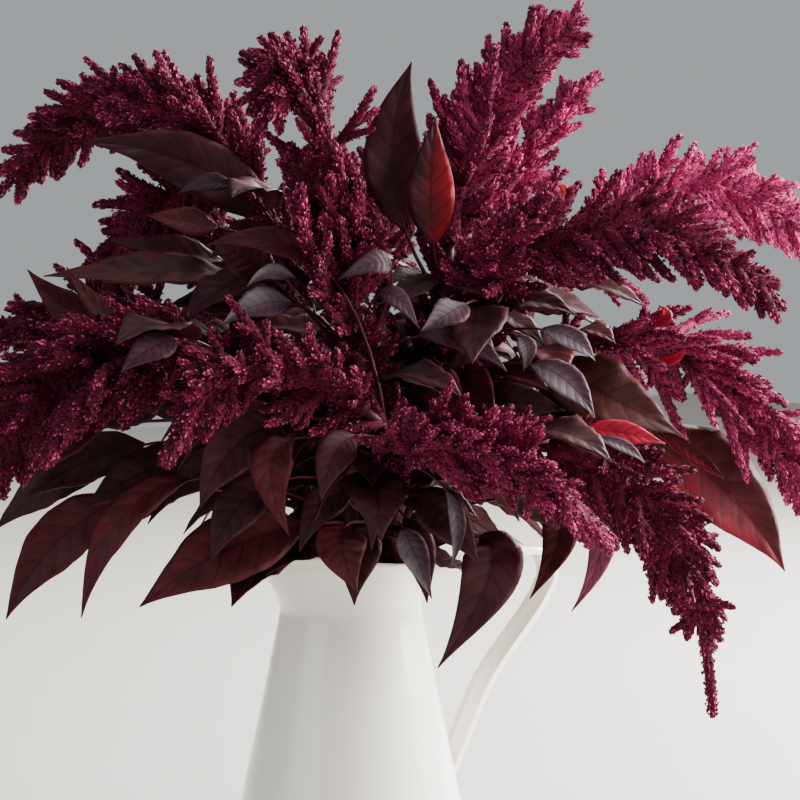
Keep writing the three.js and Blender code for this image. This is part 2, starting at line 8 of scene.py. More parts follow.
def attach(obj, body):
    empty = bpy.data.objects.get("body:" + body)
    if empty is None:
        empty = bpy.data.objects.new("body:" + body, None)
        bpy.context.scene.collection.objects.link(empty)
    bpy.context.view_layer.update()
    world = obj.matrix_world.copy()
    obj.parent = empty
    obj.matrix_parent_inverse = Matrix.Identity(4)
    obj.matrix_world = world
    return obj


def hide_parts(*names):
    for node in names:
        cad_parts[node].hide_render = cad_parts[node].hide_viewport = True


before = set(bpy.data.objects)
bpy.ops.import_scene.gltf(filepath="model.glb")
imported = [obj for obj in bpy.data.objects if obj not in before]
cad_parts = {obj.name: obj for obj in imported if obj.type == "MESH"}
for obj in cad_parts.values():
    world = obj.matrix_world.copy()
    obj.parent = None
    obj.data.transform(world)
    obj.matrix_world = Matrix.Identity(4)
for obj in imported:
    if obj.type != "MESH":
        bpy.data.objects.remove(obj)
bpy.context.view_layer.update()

# The camera stands where the photograph was taken from, with the handle behind the pitcher on the right
view = {"at": (-0.8682, -1.2965, 0.484), "down": 5, "turn": -35, "lens": 108}


def linkedObject(name, data):
    made = bpy.data.objects.new(name, data)
    bpy.context.collection.objects.link(made)
    return made


lens = bpy.data.cameras.new("camera")
lens.lens = view["lens"]
camera = linkedObject("camera", lens)
camera.location = view["at"]
camera.rotation_euler = (math.radians(90 - view["down"]), 0, math.radians(view["turn"]))
bpy.context.scene.camera = camera

# Layout: every stem, spike and leaf of the bouquet in millimetres, facing the viewer along +Y.
# These numbers are the CAD model's own, so that what is made here lies on its solids.
bouquet = {
    "neckHeight": 211, "wall": 1.5, "gap": 0.3, "waterHeight": 148, "freeFrom": 238, "neckRadius": 45.5,
    "waist": {"inner": 14, "outer": 31}, "spread": {"inner": 26, "outer": 58}, "stemFoot": 4, "stemTop": 3,
    "stemEase": (0.4, 0.35), "stemSteps": 60, "headRadius": 15, "headMargin": 2, "headSteps": 40,
    "spikeRadius": 7.4, "spikeKeep": 0.85, "frontSpikes": 16, "backSpikes": 12, "backFrom": 80,
    "spikeFrom": 0.03, "spikeTo": 0.8, "spikeOpening": (66, 28), "spikeMiddle": 0.55, "spikeAhead": 0.16,
    "spikeRise": 0.45, "bladeFold": 0.2, "bladeWave": 0.1, "bladeBall": 3.4, "bladeFrom": 0.3,
    "ballsFrom": 0.1, "petioleRadius": 1.6, "petioleLeast": 0.12, "bendRange": (0.3, 0.72),
    "broadestAt": 0.4, "clearance": 1.8, "ballSpacing": 5, "goldenAngle": 2.39996, "turnToPart": -35,
}
ruledLeaf = {"length": (115, 40), "vary": (0.85, 0.3), "width": 0.4, "shoulder": (0.45, 0.16),
             "tip": (0.98, 0.22), "roll": (0.3, 0.6), "lean": 0.4}
rimBalls = {"count": 72, "beyond": 4, "heights": (232, 238, 244), "radius": 2.5}

# Where each kind of form starts its row of draws, and how far each stem's row starts from the last one's
seeds = {"spikes": (1000, 77), "ruledLeaves": (5000, 31), "plumes": (300, 17), "tufts": (1500, 53),
         "leaves": (700, 13), "smallLeaves": (900, 41)}

# name, ring in the neck, turn, head's base, bend and tip, longest spike, lift of the spikes, leaves by rule
stems = [
    ("back_left", "inner", 146, (-60, 40, 480), (-145, 85, 600), (-250, 120, 478), 52, 0.35, 2),
    ("top_left", "inner", -76, (2, -62, 402), (-18, -56, 635), (-56, -86, 512), 52, 0.1, 2),
    ("top_right", "inner", -20, (65, -15, 450), (75, 0, 555), (155, 10, 595), 50, 0.5, 2),
    ("top_back", "inner", 32, (85, 60, 455), (110, 85, 510), (170, 115, 565), 48, 0.2, 3),
    ("crown_back", "inner", 80, (20, 110, 440), (10, 165, 515), (-20, 225, 485), 50, 0.2, 3),
    ("left_low", "outer", -145, (-100, -55, 380), (-180, -75, 395), (-230, -70, 305), 58, -0.4, 2),
    ("front_left", "outer", -100, (10, -95, 350), (-75, -135, 415), (-105, -150, 320), 50, 0.1, 2),
    ("front_low", "outer", -72, (30, -110, 330), (85, -150, 350), (160, -175, 275), 48, 0.2, 2),
    ("right_droop", "outer", -46, (125, -85, 325), (215, -115, 315), (225, -105, 160), 52, -0.2, 2),
    ("right_mid", "outer", -27, (105, -35, 435), (180, -70, 495), (270, -85, 410), 52, 0, 2),
    ("right_low", "outer", 0, (155, -5, 385), (260, 10, 395), (305, 10, 265), 68, -0.4, 2),
    ("right_back", "outer", 20, (160, 70, 450), (255, 110, 525), (330, 125, 435), 52, 0.2, 3),
    ("back_right", "outer", 46, (105, 140, 415), (150, 205, 455), (215, 265, 400), 54, 0, 3),
    ("back_low", "outer", 76, (20, 150, 370), (5, 225, 395), (-20, 290, 305), 52, -0.2, 4),
    ("back_left_low", "outer", 102, (-60, 130, 385), (-100, 190, 410), (-155, 235, 340), 52, 0, 4),
    ("left_back", "outer", 130, (-65, 90, 440), (-135, 130, 475), (-185, 150, 400), 50, -0.3, 3),
    ("left_mid", "outer", 172, (-110, 20, 395), (-180, 40, 415), (-260, 55, 375), 56, -0.1, 2),
]

# stem, the leaf's broadest point, its tip, width, degrees turned from up to the viewer, tone
namedLeaves = [
    ("back_left", (-90, 28, 494), (-175, 35, 515), 40, 75, "dark"),
    ("left_back", (-121, 5, 432), (-200, 5, 428), 32, 45, "bronze"),
    ("left_mid", (-176, 14, 412), (-210, 20, 445), 26, 60, "wine"),
    ("left_low", (-68, -78, 264), (-130, -80, 225), 46, 70, "wine"),
    ("left_low", (-134, -87, 288), (-165, -90, 220), 26, 50, "wine"),
    ("left_low", (-180, -37, 266), (-220, -40, 210), 38, 70, "wine"),
    ("left_mid", (-105, 20, 310), (-155, 30, 250), 34, 60, "dark"),
    ("right_low", (236, 26, 296), (290, 30, 230), 58, 70, "red"),
    ("right_low", (154, -47, 360), (210, -55, 330), 46, 65, "bronze"),
    ("right_mid", (131, -90, 362), (152, -95, 337), 22, 60, "silver"),
    ("right_mid", (136, -80, 386), (153, -80, 371), 16, 60, "silver"),
    ("right_mid", (117, -85, 389), (115, -88, 373), 12, 60, "silver"),
    ("right_mid", (64, -95, 410), (45, -100, 398), 22, 50, "silver"),
    ("top_left", (75, -70, 405), (110, -80, 385), 24, 50, "mauve"),
    ("top_right", (28, -20, 500), (40, -25, 565), 38, 80, "dark"),
    ("top_right", (52, -40, 480), (55, -35, 530), 30, 80, "ember"),
    ("top_left", (-50, -92, 415), (-76, -100, 402), 24, 50, "silver"),
    ("left_low", (-115, -110, 390), (-135, -125, 375), 22, 60, "mauve"),
    ("front_left", (-4, -85, 266), (6, -85, 235), 32, 75, "wine"),
    ("front_left", (40, -100, 265), (52, -104, 234), 18, 75, "silver"),
    ("front_low", (65, -140, 300), (60, -145, 270), 12, 75, "silver"),
    ("right_droop", (90, -88, 246), (56, -88, 180), 38, 80, "dark"),
    ("front_left", (-45, -110, 320), (-35, -115, 275), 26, 75, "wine"),
    ("front_left", (-65, -95, 330), (-90, -105, 290), 34, 75, "dark"),
    ("front_left", (-5, -120, 320), (-15, -130, 290), 24, 75, "dark"),
    ("right_droop", (135, -40, 270), (115, -50, 225), 24, 75, "wine"),
    ("right_droop", (160, -60, 270), (140, -70, 220), 18, 75, "pink"),
    ("right_droop", (175, -60, 330), (195, -70, 315), 20, 60, "red"),
    ("right_low", (220, -15, 315), (240, -30, 300), 12, 60, "red"),
    ("right_low", (205, -25, 403), (201, -25, 411), 9, 60, "bract"),
    ("right_low", (214, -10, 387), (225, -10, 395), 10, 60, "bract"),
    ("right_mid", (135, 10, 480), (105, 0, 465), 20, 60, "ember"),
    ("back_left", (-101, -30, 464), (-128, -30, 468), 20, 60, "wine"),
    ("back_left", (-89, -5, 489), (-111, 0, 482), 14, 60, "mauve"),
    ("top_left", (-62, -50, 439), (-85, -50, 451), 28, 60, "wine"),
    ("left_mid", (-121, -30, 400), (-113, -30, 383), 16, 60, "dark"),
    ("top_left", (20, -95, 440), (-5, -105, 430), 18, 60, "mauve"),
    ("left_low", (-190, 0, 295), (-235, 10, 260), 30, 60, "dark"),
    ("left_low", (-195, -20, 370), (-240, -10, 350), 26, 60, "wine"),
]

up = np.array([0.0, 0.0, 1.0])
toViewer = np.array([0.0, -1.0, 0.09])
golden = bouquet["goldenAngle"]


def unitOf(vector):
    return vector / np.linalg.norm(vector, axis=-1, keepdims=True)


def curveAt(controls, t):
    t = np.asarray(t, dtype=float)[..., None]
    if len(controls) == 3:
        a, b, c = controls
        return (1 - t) ** 2 * a + 2 * (1 - t) * t * b + t * t * c
    a, b, c, d = controls
    return (1 - t) ** 3 * a + 3 * (1 - t) ** 2 * t * b + 3 * (1 - t) * t * t * c + t**3 * d


def tangentAt(controls, t):
    t = np.asarray(t, dtype=float)
    return unitOf(curveAt(controls, np.minimum(t + 1e-4, 1)) - curveAt(controls, np.maximum(t - 1e-4, 0)))


def turnAbout(vector, axis, angle):
    axis = unitOf(axis)
    across = np.cross(axis, vector)
    along = axis * (axis @ vector)
    return vector * math.cos(angle) + across * math.sin(angle) + along * (1 - math.cos(angle))


drawRule = {"times": 1664525, "plus": 1013904223, "range": 4294967296}


def drawsFrom(seed):  # even draws from 0 to 1, the same on every run
    state = seed

    def draw():
        nonlocal state
        state = (state * drawRule["times"] + drawRule["plus"]) % drawRule["range"]
        return state / drawRule["range"]

    return draw


def drawsFor(kind, index):
    first, step = seeds[kind]
    return drawsFrom(first + step * index)


def flatWay(turn):
    return np.array([math.cos(turn), math.sin(turn), 0])


def outwardOf(aside, across, turn):
    return aside * math.cos(turn) + across * math.sin(turn)


def reachedAlong(points):
    return np.concatenate([[0], np.cumsum(np.linalg.norm(np.diff(points, axis=0), axis=1))])


def roundHalfUp(value):
    return math.floor(value + 0.5)


# What a limb keeps clear of others is a row of balls along it
mostBalls = 60000
taken = {"count": 0, "at": np.zeros((mostBalls, 3)), "radius": np.zeros(mostBalls),
         "node": np.zeros(mostBalls, dtype=int), "blade": np.zeros(mostBalls, dtype=bool)}
nodeNumbers = {}


def numberOf(node):
    return nodeNumbers.setdefault(node, len(nodeNumbers))


def take(at, radius, node, blade=False):
    first, last = taken["count"], taken["count"] + len(at)
    taken["at"][first:last] = at
    taken["radius"][first:last] = radius
    taken["node"][first:last] = numberOf(node)
    taken["blade"][first:last] = blade
    taken["count"] = last


def isClear(at, radius, node, ownBlades=False, clearance=bouquet["clearance"]):
    # clear of every other node's balls and, for a leaf, of the blades of its own stem
    count = taken["count"]
    others = taken["node"][:count] != numberOf(node)
    if ownBlades:
        others |= taken["blade"][:count]
    widest = np.max(radius) + bouquet["headRadius"] + bouquet["headMargin"] + clearance
    places = taken["at"][:count]
    near = others & np.all((places > at.min(0) - widest) & (places < at.max(0) + widest), axis=1)
    if not near.any():
        return True
    away = ((at[:, None, :] - places[near][None, :, :]) ** 2).sum(-1)
    reach = np.broadcast_to(radius, len(at))[:, None] + taken["radius"][:count][near][None, :] + clearance
    return not (away < reach * reach).any()


def stemFrame(stem):
    slant = math.radians(stem[2])
    lean = flatWay(slant)
    aside = np.array([-math.sin(slant), math.cos(slant), 0])
    waist = aside * bouquet["waist"][stem[1]] + up * bouquet["neckHeight"]
    along = unitOf(lean * bouquet["spread"][stem[1]] + up * bouquet["neckHeight"])
    return aside, along, lambda z: waist + along * ((z - bouquet["neckHeight"]) / along[2])


def stemPath(stem, count=7):
    aside, along, pointAt = stemFrame(stem)
    start = pointAt(bouquet["freeFrom"])
    base = np.array(stem[3], dtype=float)
    headWay = unitOf(np.array(stem[4], dtype=float) - base)
    span = np.linalg.norm(start - base)
    last = base - headWay * bouquet["gap"]
    low, high = bouquet["stemEase"]
    controls = np.array([start, start + along * low * span, last - headWay * high * span, last])
    steps = np.linspace(0, 1, count)
    foot = pointAt(bouquet["wall"] + bouquet["gap"])
    places = np.vstack([foot, pointAt(bouquet["waterHeight"]), curveAt(controls, steps)])
    ways = np.vstack([up, along, tangentAt(controls, steps)])
    return places, ways


def headControls(stem):
    return np.array([stem[3], stem[4], stem[5]], dtype=float)


def headFullness(t):
    return np.minimum(1, 0.5 + 5 * t) * (1 - t) ** 0.85


def sidewaysOf(controls):
    a, b, c = controls
    across = np.cross(b - a, c - b)
    return unitOf(across) if across @ across > 1e-6 else unitOf(np.cross(b - a, up))


def spikeLine(root, way, along, length, lift):
    ahead, rise = along * bouquet["spikeAhead"] * length, up * bouquet["spikeRise"] * lift * length
    return np.array([root, root + way * bouquet["spikeMiddle"] * length, root + way * length + ahead + rise])


# Shares of the full length and turns that a spike tries until it is clear
spikeTries = ((1, 0), (1, 0.35), (1, -0.35), (0.7, 0), (0.7, 0.5), (0.7, -0.5), (0.5, 0))


def headSpikes(stem, index):
    name, base, longest, lift = stem[0], stem[3], stem[6], stem[7]
    node = "head_" + name
    draw = drawsFor("spikes", index)
    controls = headControls(stem)
    aside = sidewaysOf(controls)
    count = bouquet["backSpikes"] if base[1] > bouquet["backFrom"] else bouquet["frontSpikes"]
    radius = bouquet["spikeRadius"] * bouquet["spikeKeep"]
    widest, narrower = bouquet["spikeOpening"]
    spikes = []
    for i in range(count):
        s = i / (count - 1)
        t = bouquet["spikeFrom"] + (bouquet["spikeTo"] - bouquet["spikeFrom"]) * s
        size = longest * min(1, 0.75 + s) * (1 - 0.72 * s**2) * (0.85 + 0.3 * draw())
        turn = i * golden + index + 0.5 * draw()
        opening = math.radians(widest - narrower * s)
        root = curveAt(controls, t)
        along = tangentAt(controls, t)
        across = np.cross(along, aside)
        for share, swing in spikeTries:
            outward = outwardOf(aside, across, turn + swing)
            way = along * math.cos(opening) + outward * math.sin(opening)
            line = spikeLine(root, way, along, size * share, lift)
            balls = curveAt(line, np.linspace(0, 1, 7))[1:]
            if isClear(balls, radius, node):
                take(balls, radius, node)
                spikes.append({"line": line, "s": s})
                break
    return spikes


def bladeShare(t):
    return np.sin(np.pi * np.clip(t, 0, 1) ** 0.78) ** 1.15


def leafOf(root, broadest, tip, width, facing, tone):
    before = np.linalg.norm(root - broadest)
    beyond = np.linalg.norm(broadest - tip)
    low, high = bouquet["bendRange"]
    t = min(max(before / (before + beyond), low), high)
    bend = (broadest - root * (1 - t) ** 2 - tip * t * t) / (2 * t * (1 - t))
    widest = bouquet["broadestAt"]
    petiole = max(bouquet["petioleLeast"], t - (widest / (1 - widest)) * (1 - t))
    return {"controls": np.array([root, bend, tip]), "width": width, "facing": facing, "petiole": petiole,
            "tone": tone}


def bladeNormal(leaf, along):
    facing = leaf["facing"]
    return unitOf(facing - along * (along @ facing)[..., None])


def leafBalls(leaf):
    root, bend, tip = leaf["controls"]
    count = math.ceil((np.linalg.norm(root - bend) + np.linalg.norm(bend - tip)) / bouquet["ballSpacing"])
    first = bouquet["ballsFrom"]
    steps = np.linspace(first, 1, count)
    places, ways = curveAt(leaf["controls"], steps), tangentAt(leaf["controls"], steps)
    normals = bladeNormal(leaf, ways)
    sides = np.cross(ways, normals)
    at, radius, blade = [], [], []
    for k in range(count):
        share = first + (1 - first) * k / (count - 1)
        t = (share - leaf["petiole"]) / (1 - leaf["petiole"])
        half = 0.5 * leaf["width"] * float(bladeShare(t)) if 0 < t < 1 else 0
        reach = roundHalfUp(half / bouquet["ballSpacing"])
        for i in range(-reach, reach + 1):
            out = half * i / reach if reach else 0
            at.append(places[k] + sides[k] * out * 0.9 + normals[k] * abs(out) * bouquet["bladeFold"])
            radius.append(bouquet["bladeBall" if half else "petioleRadius"])
            blade.append(share >= bouquet["bladeFrom"])
    return np.array(at), np.array(radius), np.array(blade)


def placeLeaf(stem, choices, clearance=bouquet["clearance"]):
    node = "stem_" + stem[0]
    for leaf in choices:
        at, radius, blade = leafBalls(leaf)
        if isClear(at, radius, node, ownBlades=True, clearance=clearance):
            take(at, radius, node, blade)
            return leaf
    return None


def rootFor(places, shoulder):
    rings = places[2:-1]
    reach = np.linalg.norm(rings - shoulder, axis=1) + np.maximum(0, rings[:, 2] - shoulder[2])
    return rings[np.argmin(reach)]


# Turns in degrees, lifts and shares of the full size that a leaf tries until it is clear
leafShifts = (
    (0, 0, 1), (0, 8, 1), (0, -8, 1), (5, 0, 1), (-5, 0, 1), (0, 16, 1), (0, -16, 1), (10, 0, 1), (-10, 0, 1),
    (8, 12, 0.85), (-8, 12, 0.85), (8, -12, 0.85), (-8, -12, 0.85), (16, 0, 0.85), (-16, 0, 0.85),
    (0, 24, 0.75), (14, 20, 0.75), (-14, 20, 0.75), (20, -10, 0.65), (-20, -10, 0.65),
)


def namedLeaf(stem, places, shoulder, tip, width, roll, tone, clearance):
    ends = np.array([shoulder, tip], dtype=float)
    root = rootFor(places, ends[0])
    facing = up * math.cos(math.radians(roll)) + toViewer * math.sin(math.radians(roll))
    choices = []
    for swing, lift, share in leafShifts:
        turned = []
        for end in ends:
            at = turnAbout((end - root) * share**0.5, up, math.radians(swing)) + root
            at[2] = end[2] + lift
            turned.append(at)
        choices.append(leafOf(root, turned[0], turned[1], width * share, facing, tone))
    return placeLeaf(stem, choices, clearance)


ruledSwings = (0, 0.4, -0.4, 0.8, -0.8, 1.3, -1.3, 1.9, -1.9, 2.5, -2.5, 3.1)


def ruledLeaves(stem, places, index):
    draw = drawsFor("ruledLeaves", index)
    rule = ruledLeaf
    (longest, shorten), (least, more), (flattest, rolled) = rule["length"], rule["vary"], rule["roll"]
    (shoulderOut, shoulderUp), (tipOut, tipDown) = rule["shoulder"], rule["tip"]
    found = []
    for i in range(stem[8]):
        share = (i + 0.2) / stem[8]
        ring = places[min(len(places) - 2, 3 + roundHalfUp(share * (len(places) - 5)))]
        length = (longest - shorten * share) * (least + more * draw())
        turn = i * golden + 2 * index + draw()
        roll = (1 if i % 2 else -1) * (flattest + rolled * draw())
        choices = []
        for shorter in (1, 0.75, 0.55):
            for swing in ruledSwings:
                outward = flatWay(turn + swing)
                size = length * shorter
                shoulder = ring + outward * shoulderOut * size + up * shoulderUp * size
                tip = ring + outward * tipOut * size - up * tipDown * size
                facing = turnAbout(up + outward * rule["lean"], outward, roll)
                tone = "wine" if i % 2 else "dark"
                choices.append(leafOf(ring, shoulder, tip, rule["width"] * size, facing, tone))
        found.append(placeLeaf(stem, choices))
    return [leaf for leaf in found if leaf]


plan = []
for stem in stems:
    finePlaces, fineWays = stemPath(stem, bouquet["stemSteps"])
    take(finePlaces, bouquet["stemFoot"], "stem_" + stem[0])
    steps = np.linspace(0, 1, bouquet["headSteps"])
    fullness = headFullness(np.arange(bouquet["headSteps"]) / (bouquet["headSteps"] - 1))
    take(curveAt(headControls(stem), steps), bouquet["headRadius"] * fullness + bouquet["headMargin"],
         "head_" + stem[0])
    plan.append({"stem": stem, "name": stem[0], "places": stemPath(stem)[0], "fine": (finePlaces, fineWays),
                 "leaves": [], "small": []})
for turn in range(rimBalls["count"]):
    angle = math.radians(360 / rimBalls["count"] * turn)
    out = bouquet["neckRadius"] + rimBalls["beyond"]
    rim = [(out * math.cos(angle), out * math.sin(angle), z) for z in rimBalls["heights"]]
    take(np.array(rim), rimBalls["radius"], "pitcher")


def placeRows(rows, kind, clearance):
    for name, *rest in rows:
        entry = next(entry for entry in plan if entry["name"] == name)
        leaf = namedLeaf(entry["stem"], entry["places"], *rest, clearance)
        if leaf:
            entry[kind].append(leaf)


placeRows(namedLeaves, "leaves", bouquet["clearance"])
for index, entry in enumerate(plan):
    entry["spikes"] = headSpikes(entry["stem"], index)
for index, entry in enumerate(plan):
    entry["leaves"] += ruledLeaves(entry["stem"], entry["places"], index)
print("layout:", sum(len(entry["leaves"]) for entry in plan), "leaves and",
      sum(len(entry["spikes"]) for entry in plan), "spikes as in the CAD model")

# Leaves that the CAD model leaves out: low down and deep inside, where they close gaps, many in the
# near-black tone that is partly painted shade there, and a few in front
skirt = [
    ("left_low", (-75, -50, 317), (-116, -58, 286), 36, 65, "deep"),
    ("left_low", (-127, -40, 306), (-168, -48, 282), 34, 60, "deep"),
    ("left_mid", (-164, 0, 311), (-209, -8, 286), 34, 60, "deep"),
    ("left_back", (-101, 30, 291), (-150, 22, 249), 34, 60, "dark"),
    ("left_low", (-187, -20, 323), (-221, -28, 298), 30, 60, "wine"),
    ("front_left", (-68, -70, 291), (-89, -78, 254), 30, 70, "deep"),
    ("back_left_low", (-131, 60, 274), (-174, 52, 234), 32, 60, "dark"),
    ("front_left", (-11, -75, 279), (-30, -83, 246), 28, 75, "deep"),
    ("front_low", (32, -85, 280), (29, -93, 241), 30, 80, "deep"),
    ("front_low", (69, -90, 287), (94, -98, 257), 30, 75, "deep"),
    ("right_droop", (108, -60, 302), (142, -68, 272), 32, 70, "deep"),
    ("left_back", (-113, 30, 444), (-158, 22, 451), 24, 50, "dark"),
    ("left_back", (-79, 20, 412), (-125, 12, 406), 30, 60, "deep"),
    ("right_mid", (134, -40, 351), (172, -48, 339), 36, 70, "deep"),
    ("right_mid", (108, -50, 326), (152, -58, 321), 36, 70, "deep"),
    ("top_left", (28, -92, 436), (44, -98, 416), 14, 60, "mauve"),
    ("top_left", (-44, -90, 434), (-61, -94, 425), 13, 50, "silver"),
    ("left_mid", (-176, 14, 408), (-212, 16, 440), 26, 60, "wine"),
    ("front_left", (8, -72, 276), (4, -80, 242), 26, 80, "dark"),
    ("front_low", (52, -78, 276), (60, -86, 240), 26, 80, "deep"),
    ("left_low", (-140, -30, 345), (-180, -38, 338), 30, 60, "deep"),
    ("left_low", (-96, -40, 352), (-138, -48, 350), 32, 65, "deep"),
    ("back_left", (-58, 30, 452), (-92, 24, 440), 32, 60, "wine"),
    ("right_mid", (80, -60, 388), (62, -68, 372), 22, 60, "dark"),
    ("right_droop", (164, -102, 329), (194, -106, 322), 17, 60, "bract"),
    ("right_droop", (165, -118, 315), (180, -121, 304), 9, 55, "silver"),
    ("front_left", (-41.2, -80, 444), (-87.2, -76, 442), 20, 60, "wine"),
]
skirtClearance = -2.5
placeRows(skirt, "small", skirtClearance)
print("skirt:", sum(len(entry["small"]) for entry in plan), "of", len(skirt))

# Small forms that repeat are made once with operators, then copied along the curves of the layout
millimetre = 0.001
partTurn = Matrix.Rotation(math.radians(bouquet["turnToPart"]), 3, "Z")
partTurn = np.array([list(row) for row in partTurn])


def toPart(points):  # from the viewer's millimetres to the part's metres
    return points @ partTurn.T * millimetre


def keepUnit(name, bm):
    bmesh.ops.recalc_face_normals(bm, faces=bm.faces)
    mesh = bpy.data.meshes.new(name)
    bm.to_mesh(mesh)
    bm.free()
    points = np.empty(len(mesh.vertices) * 3, dtype=np.float32)
    mesh.vertices.foreach_get("co", points)
    return {"mesh": mesh, "points": points.reshape(-1, 3).astype(float)}


def addShaped(bm, unit, points, **values):
    mesh = unit["mesh"]
    mesh.vertices.foreach_set("co", toPart(points).astype(np.float32).ravel())
    for name, value in values.items():
        data = mesh.attributes[name].data
        if np.ndim(value):
            data.foreach_set("color", np.float32(value).ravel())
        else:
            data.foreach_set("value", np.full(len(data), value, dtype=np.float32))
    bm.from_mesh(mesh)


def smoothFaces(bm):
    for face in bm.faces:
        face.smooth = True


def toMetres(bm):
    bmesh.ops.scale(bm, verts=bm.verts, vec=(millimetre, millimetre, millimetre))


def tubeOf(bm, sides, rings, depth=1.0):  # a closed round tube along +Z with rings to shape it by
    bmesh.ops.create_cone(bm, cap_ends=True, segments=sides, radius1=1, radius2=1, depth=depth,
                          matrix=Matrix.Translation((0, 0, depth / 2)))
    long = [edge for edge in bm.edges if abs(edge.verts[0].co.z - edge.verts[1].co.z) > 0.9 * depth]
    bmesh.ops.subdivide_edges(bm, edges=long, cuts=rings)
    smoothFaces(bm)


def evenCurve(controls):  # places and ways by share of the curve's length
    steps = np.linspace(0, 1, 33)
    reached = reachedAlong(curveAt(controls, steps))

    def at(share):
        t = np.interp(share, reached / reached[-1], steps)
        return curveAt(controls, t), tangentAt(controls, t)

    return at, reached[-1]


def bendAlong(points, depth, curveShare, aside, thick=1.0):
    share = np.clip(points[:, 2] / depth, 0, 1)
    at, along = curveShare(share)
    side = unitOf(aside - along * (along @ aside)[:, None])
    across = np.cross(along, side)
    beyond = points[:, 2] - share * depth
    return at + along * beyond[:, None] + side * points[:, :1] * thick + across * points[:, 1:2] * thick


def finishPiece(name, bm, materials, nodes=()):
    mesh = bpy.data.meshes.new(name)
    bm.to_mesh(mesh)
    bm.free()
    for material in materials:
        mesh.materials.append(material)
    piece = linkedObject(name, mesh)
    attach(piece, "root")
    if nodes:
        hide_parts(*nodes)
    return piece


# Shader groups that several materials share
def newGroup(name, inputs, outputs):
    group = bpy.data.node_groups.new(name, "ShaderNodeTree")
    for label, kind, value in inputs:
        socket = group.interface.new_socket(label, in_out="INPUT", socket_type=kind)
        if value is not None:
            socket.default_value = value
    for label, kind in outputs:
        group.interface.new_socket(label, in_out="OUTPUT", socket_type=kind)
    return group, group.nodes.new("NodeGroupInput"), group.nodes.new("NodeGroupOutput")


def feed(tree, socket, value):  # a link from another node's output, or a constant
    if isinstance(value, bpy.types.NodeSocket):
        tree.links.new(value, socket)
    else:
        socket.default_value = value


def node(tree, kind, settings=None, **values):
    made = tree.nodes.new("ShaderNode" + kind)
    for name, value in (settings or {}).items():
        setattr(made, name, value)
    for name, value in values.items():
        numbered = name[0] == "i" and name[1:].isdigit()
        feed(tree, made.inputs[int(name[1:]) if numbered else name], value)
    return made


def math2(tree, operation, first, second=0.0, third=0.0):
    return node(tree, "Math", {"operation": operation}, i0=first, i1=second, i2=third).outputs[0]


def product(tree, first, second):
    return math2(tree, "MULTIPLY", first, second)


def mixOf(tree, factor, first, second, blend="MIX"):
    made = tree.nodes.new("ShaderNodeMix")
    made.data_type = "RGBA"
    made.blend_type = blend
    for place, value in ((0, factor), (6, first), (7, second)):
        feed(tree, made.inputs[place], value)
    return made.outputs[2]


def rangeOf(tree, value, low, high, toLow=0.0, toHigh=1.0, smooth=True):
    kind = {"interpolation_type": "SMOOTHSTEP" if smooth else "LINEAR"}
    return node(tree, "MapRange", kind, i0=value, i1=low, i2=high, i3=toLow, i4=toHigh).outputs[0]


def grainGroup():  # fine cells over soft patches, as on florets, bark and fired glaze
    inputs = [("Vector", "NodeSocketVector", None), ("Scale", "NodeSocketFloat", 500.0),
              ("Patch Scale", "NodeSocketFloat", 40.0)]
    outputs = [("Cells", "NodeSocketFloat"), ("Patches", "NodeSocketFloat")]
    group, given, out = newGroup("fineGrain", inputs, outputs)
    cells = node(group, "TexVoronoi", Vector=given.outputs["Vector"], Scale=given.outputs["Scale"])
    patches = node(group, "TexNoise", Vector=given.outputs["Vector"], Scale=given.outputs["Patch Scale"],
                   Detail=3.0)
    group.links.new(math2(group, "SUBTRACT", 1.0, cells.outputs["Distance"]), out.inputs["Cells"])
    group.links.new(patches.outputs["Fac"], out.inputs["Patches"])
    return group


# Pairs of side veins on a leaf, and how far and how roundly they sweep towards the tip
vein = {"pairs": 8.0, "sweep": 0.16, "rounding": 1.2}


def veinGroup():  # a leaf's midrib and side veins from its UV map, across u and along v
    group, given, out = newGroup("leafVeins", [("UV", "NodeSocketVector", None)],
                                 [(name, "NodeSocketFloat") for name in ("Veins", "Quilt", "Edge")])
    parts = node(group, "SeparateXYZ", Vector=given.outputs["UV"])
    u = math2(group, "ABSOLUTE", math2(group, "MULTIPLY_ADD", parts.outputs["X"], 2.0, -1.0))
    swept = product(group, math2(group, "POWER", u, vein["rounding"]), vein["sweep"])
    phase = product(group, math2(group, "SUBTRACT", parts.outputs["Y"], swept), vein["pairs"])
    away = math2(group, "ABSOLUTE", math2(group, "SUBTRACT", math2(group, "FRACT", phase), 0.5))
    inner = rangeOf(group, u, 0.8, 1.0, 1.0, 0.0)
    side = product(group, rangeOf(group, away, 0.4, 0.485), inner)
    midrib = rangeOf(group, u, 0.03, 0.1, 1.0, 0.0)
    group.links.new(math2(group, "MAXIMUM", side, midrib), out.inputs["Veins"])
    group.links.new(product(group, rangeOf(group, away, 0.5, 0.1), inner), out.inputs["Quilt"])
    group.links.new(rangeOf(group, u, 0.82, 1.0), out.inputs["Edge"])
    return group


grain = grainGroup()
veins = veinGroup()


def newMaterial(name, **sockets):
    material = bpy.data.materials.new(name)
    material.use_nodes = True
    tree = material.node_tree
    shader = tree.nodes["Principled BSDF"]
    for label, value in sockets.items():
        shader.inputs[label.replace("_", " ")].default_value = value
    return material, tree, shader


def grouped(tree, group, **values):
    made = tree.nodes.new("ShaderNodeGroup")
    made.node_tree = group
    for name, value in values.items():
        feed(tree, made.inputs[name.replace("_", " ")], value)
    return made


def objectPlace(tree):
    return tree.nodes.new("ShaderNodeTexCoord").outputs["Object"]


def grained(tree, look):
    return grouped(tree, grain, Vector=objectPlace(tree), Scale=look["grain"], Patch_Scale=look["patches"])


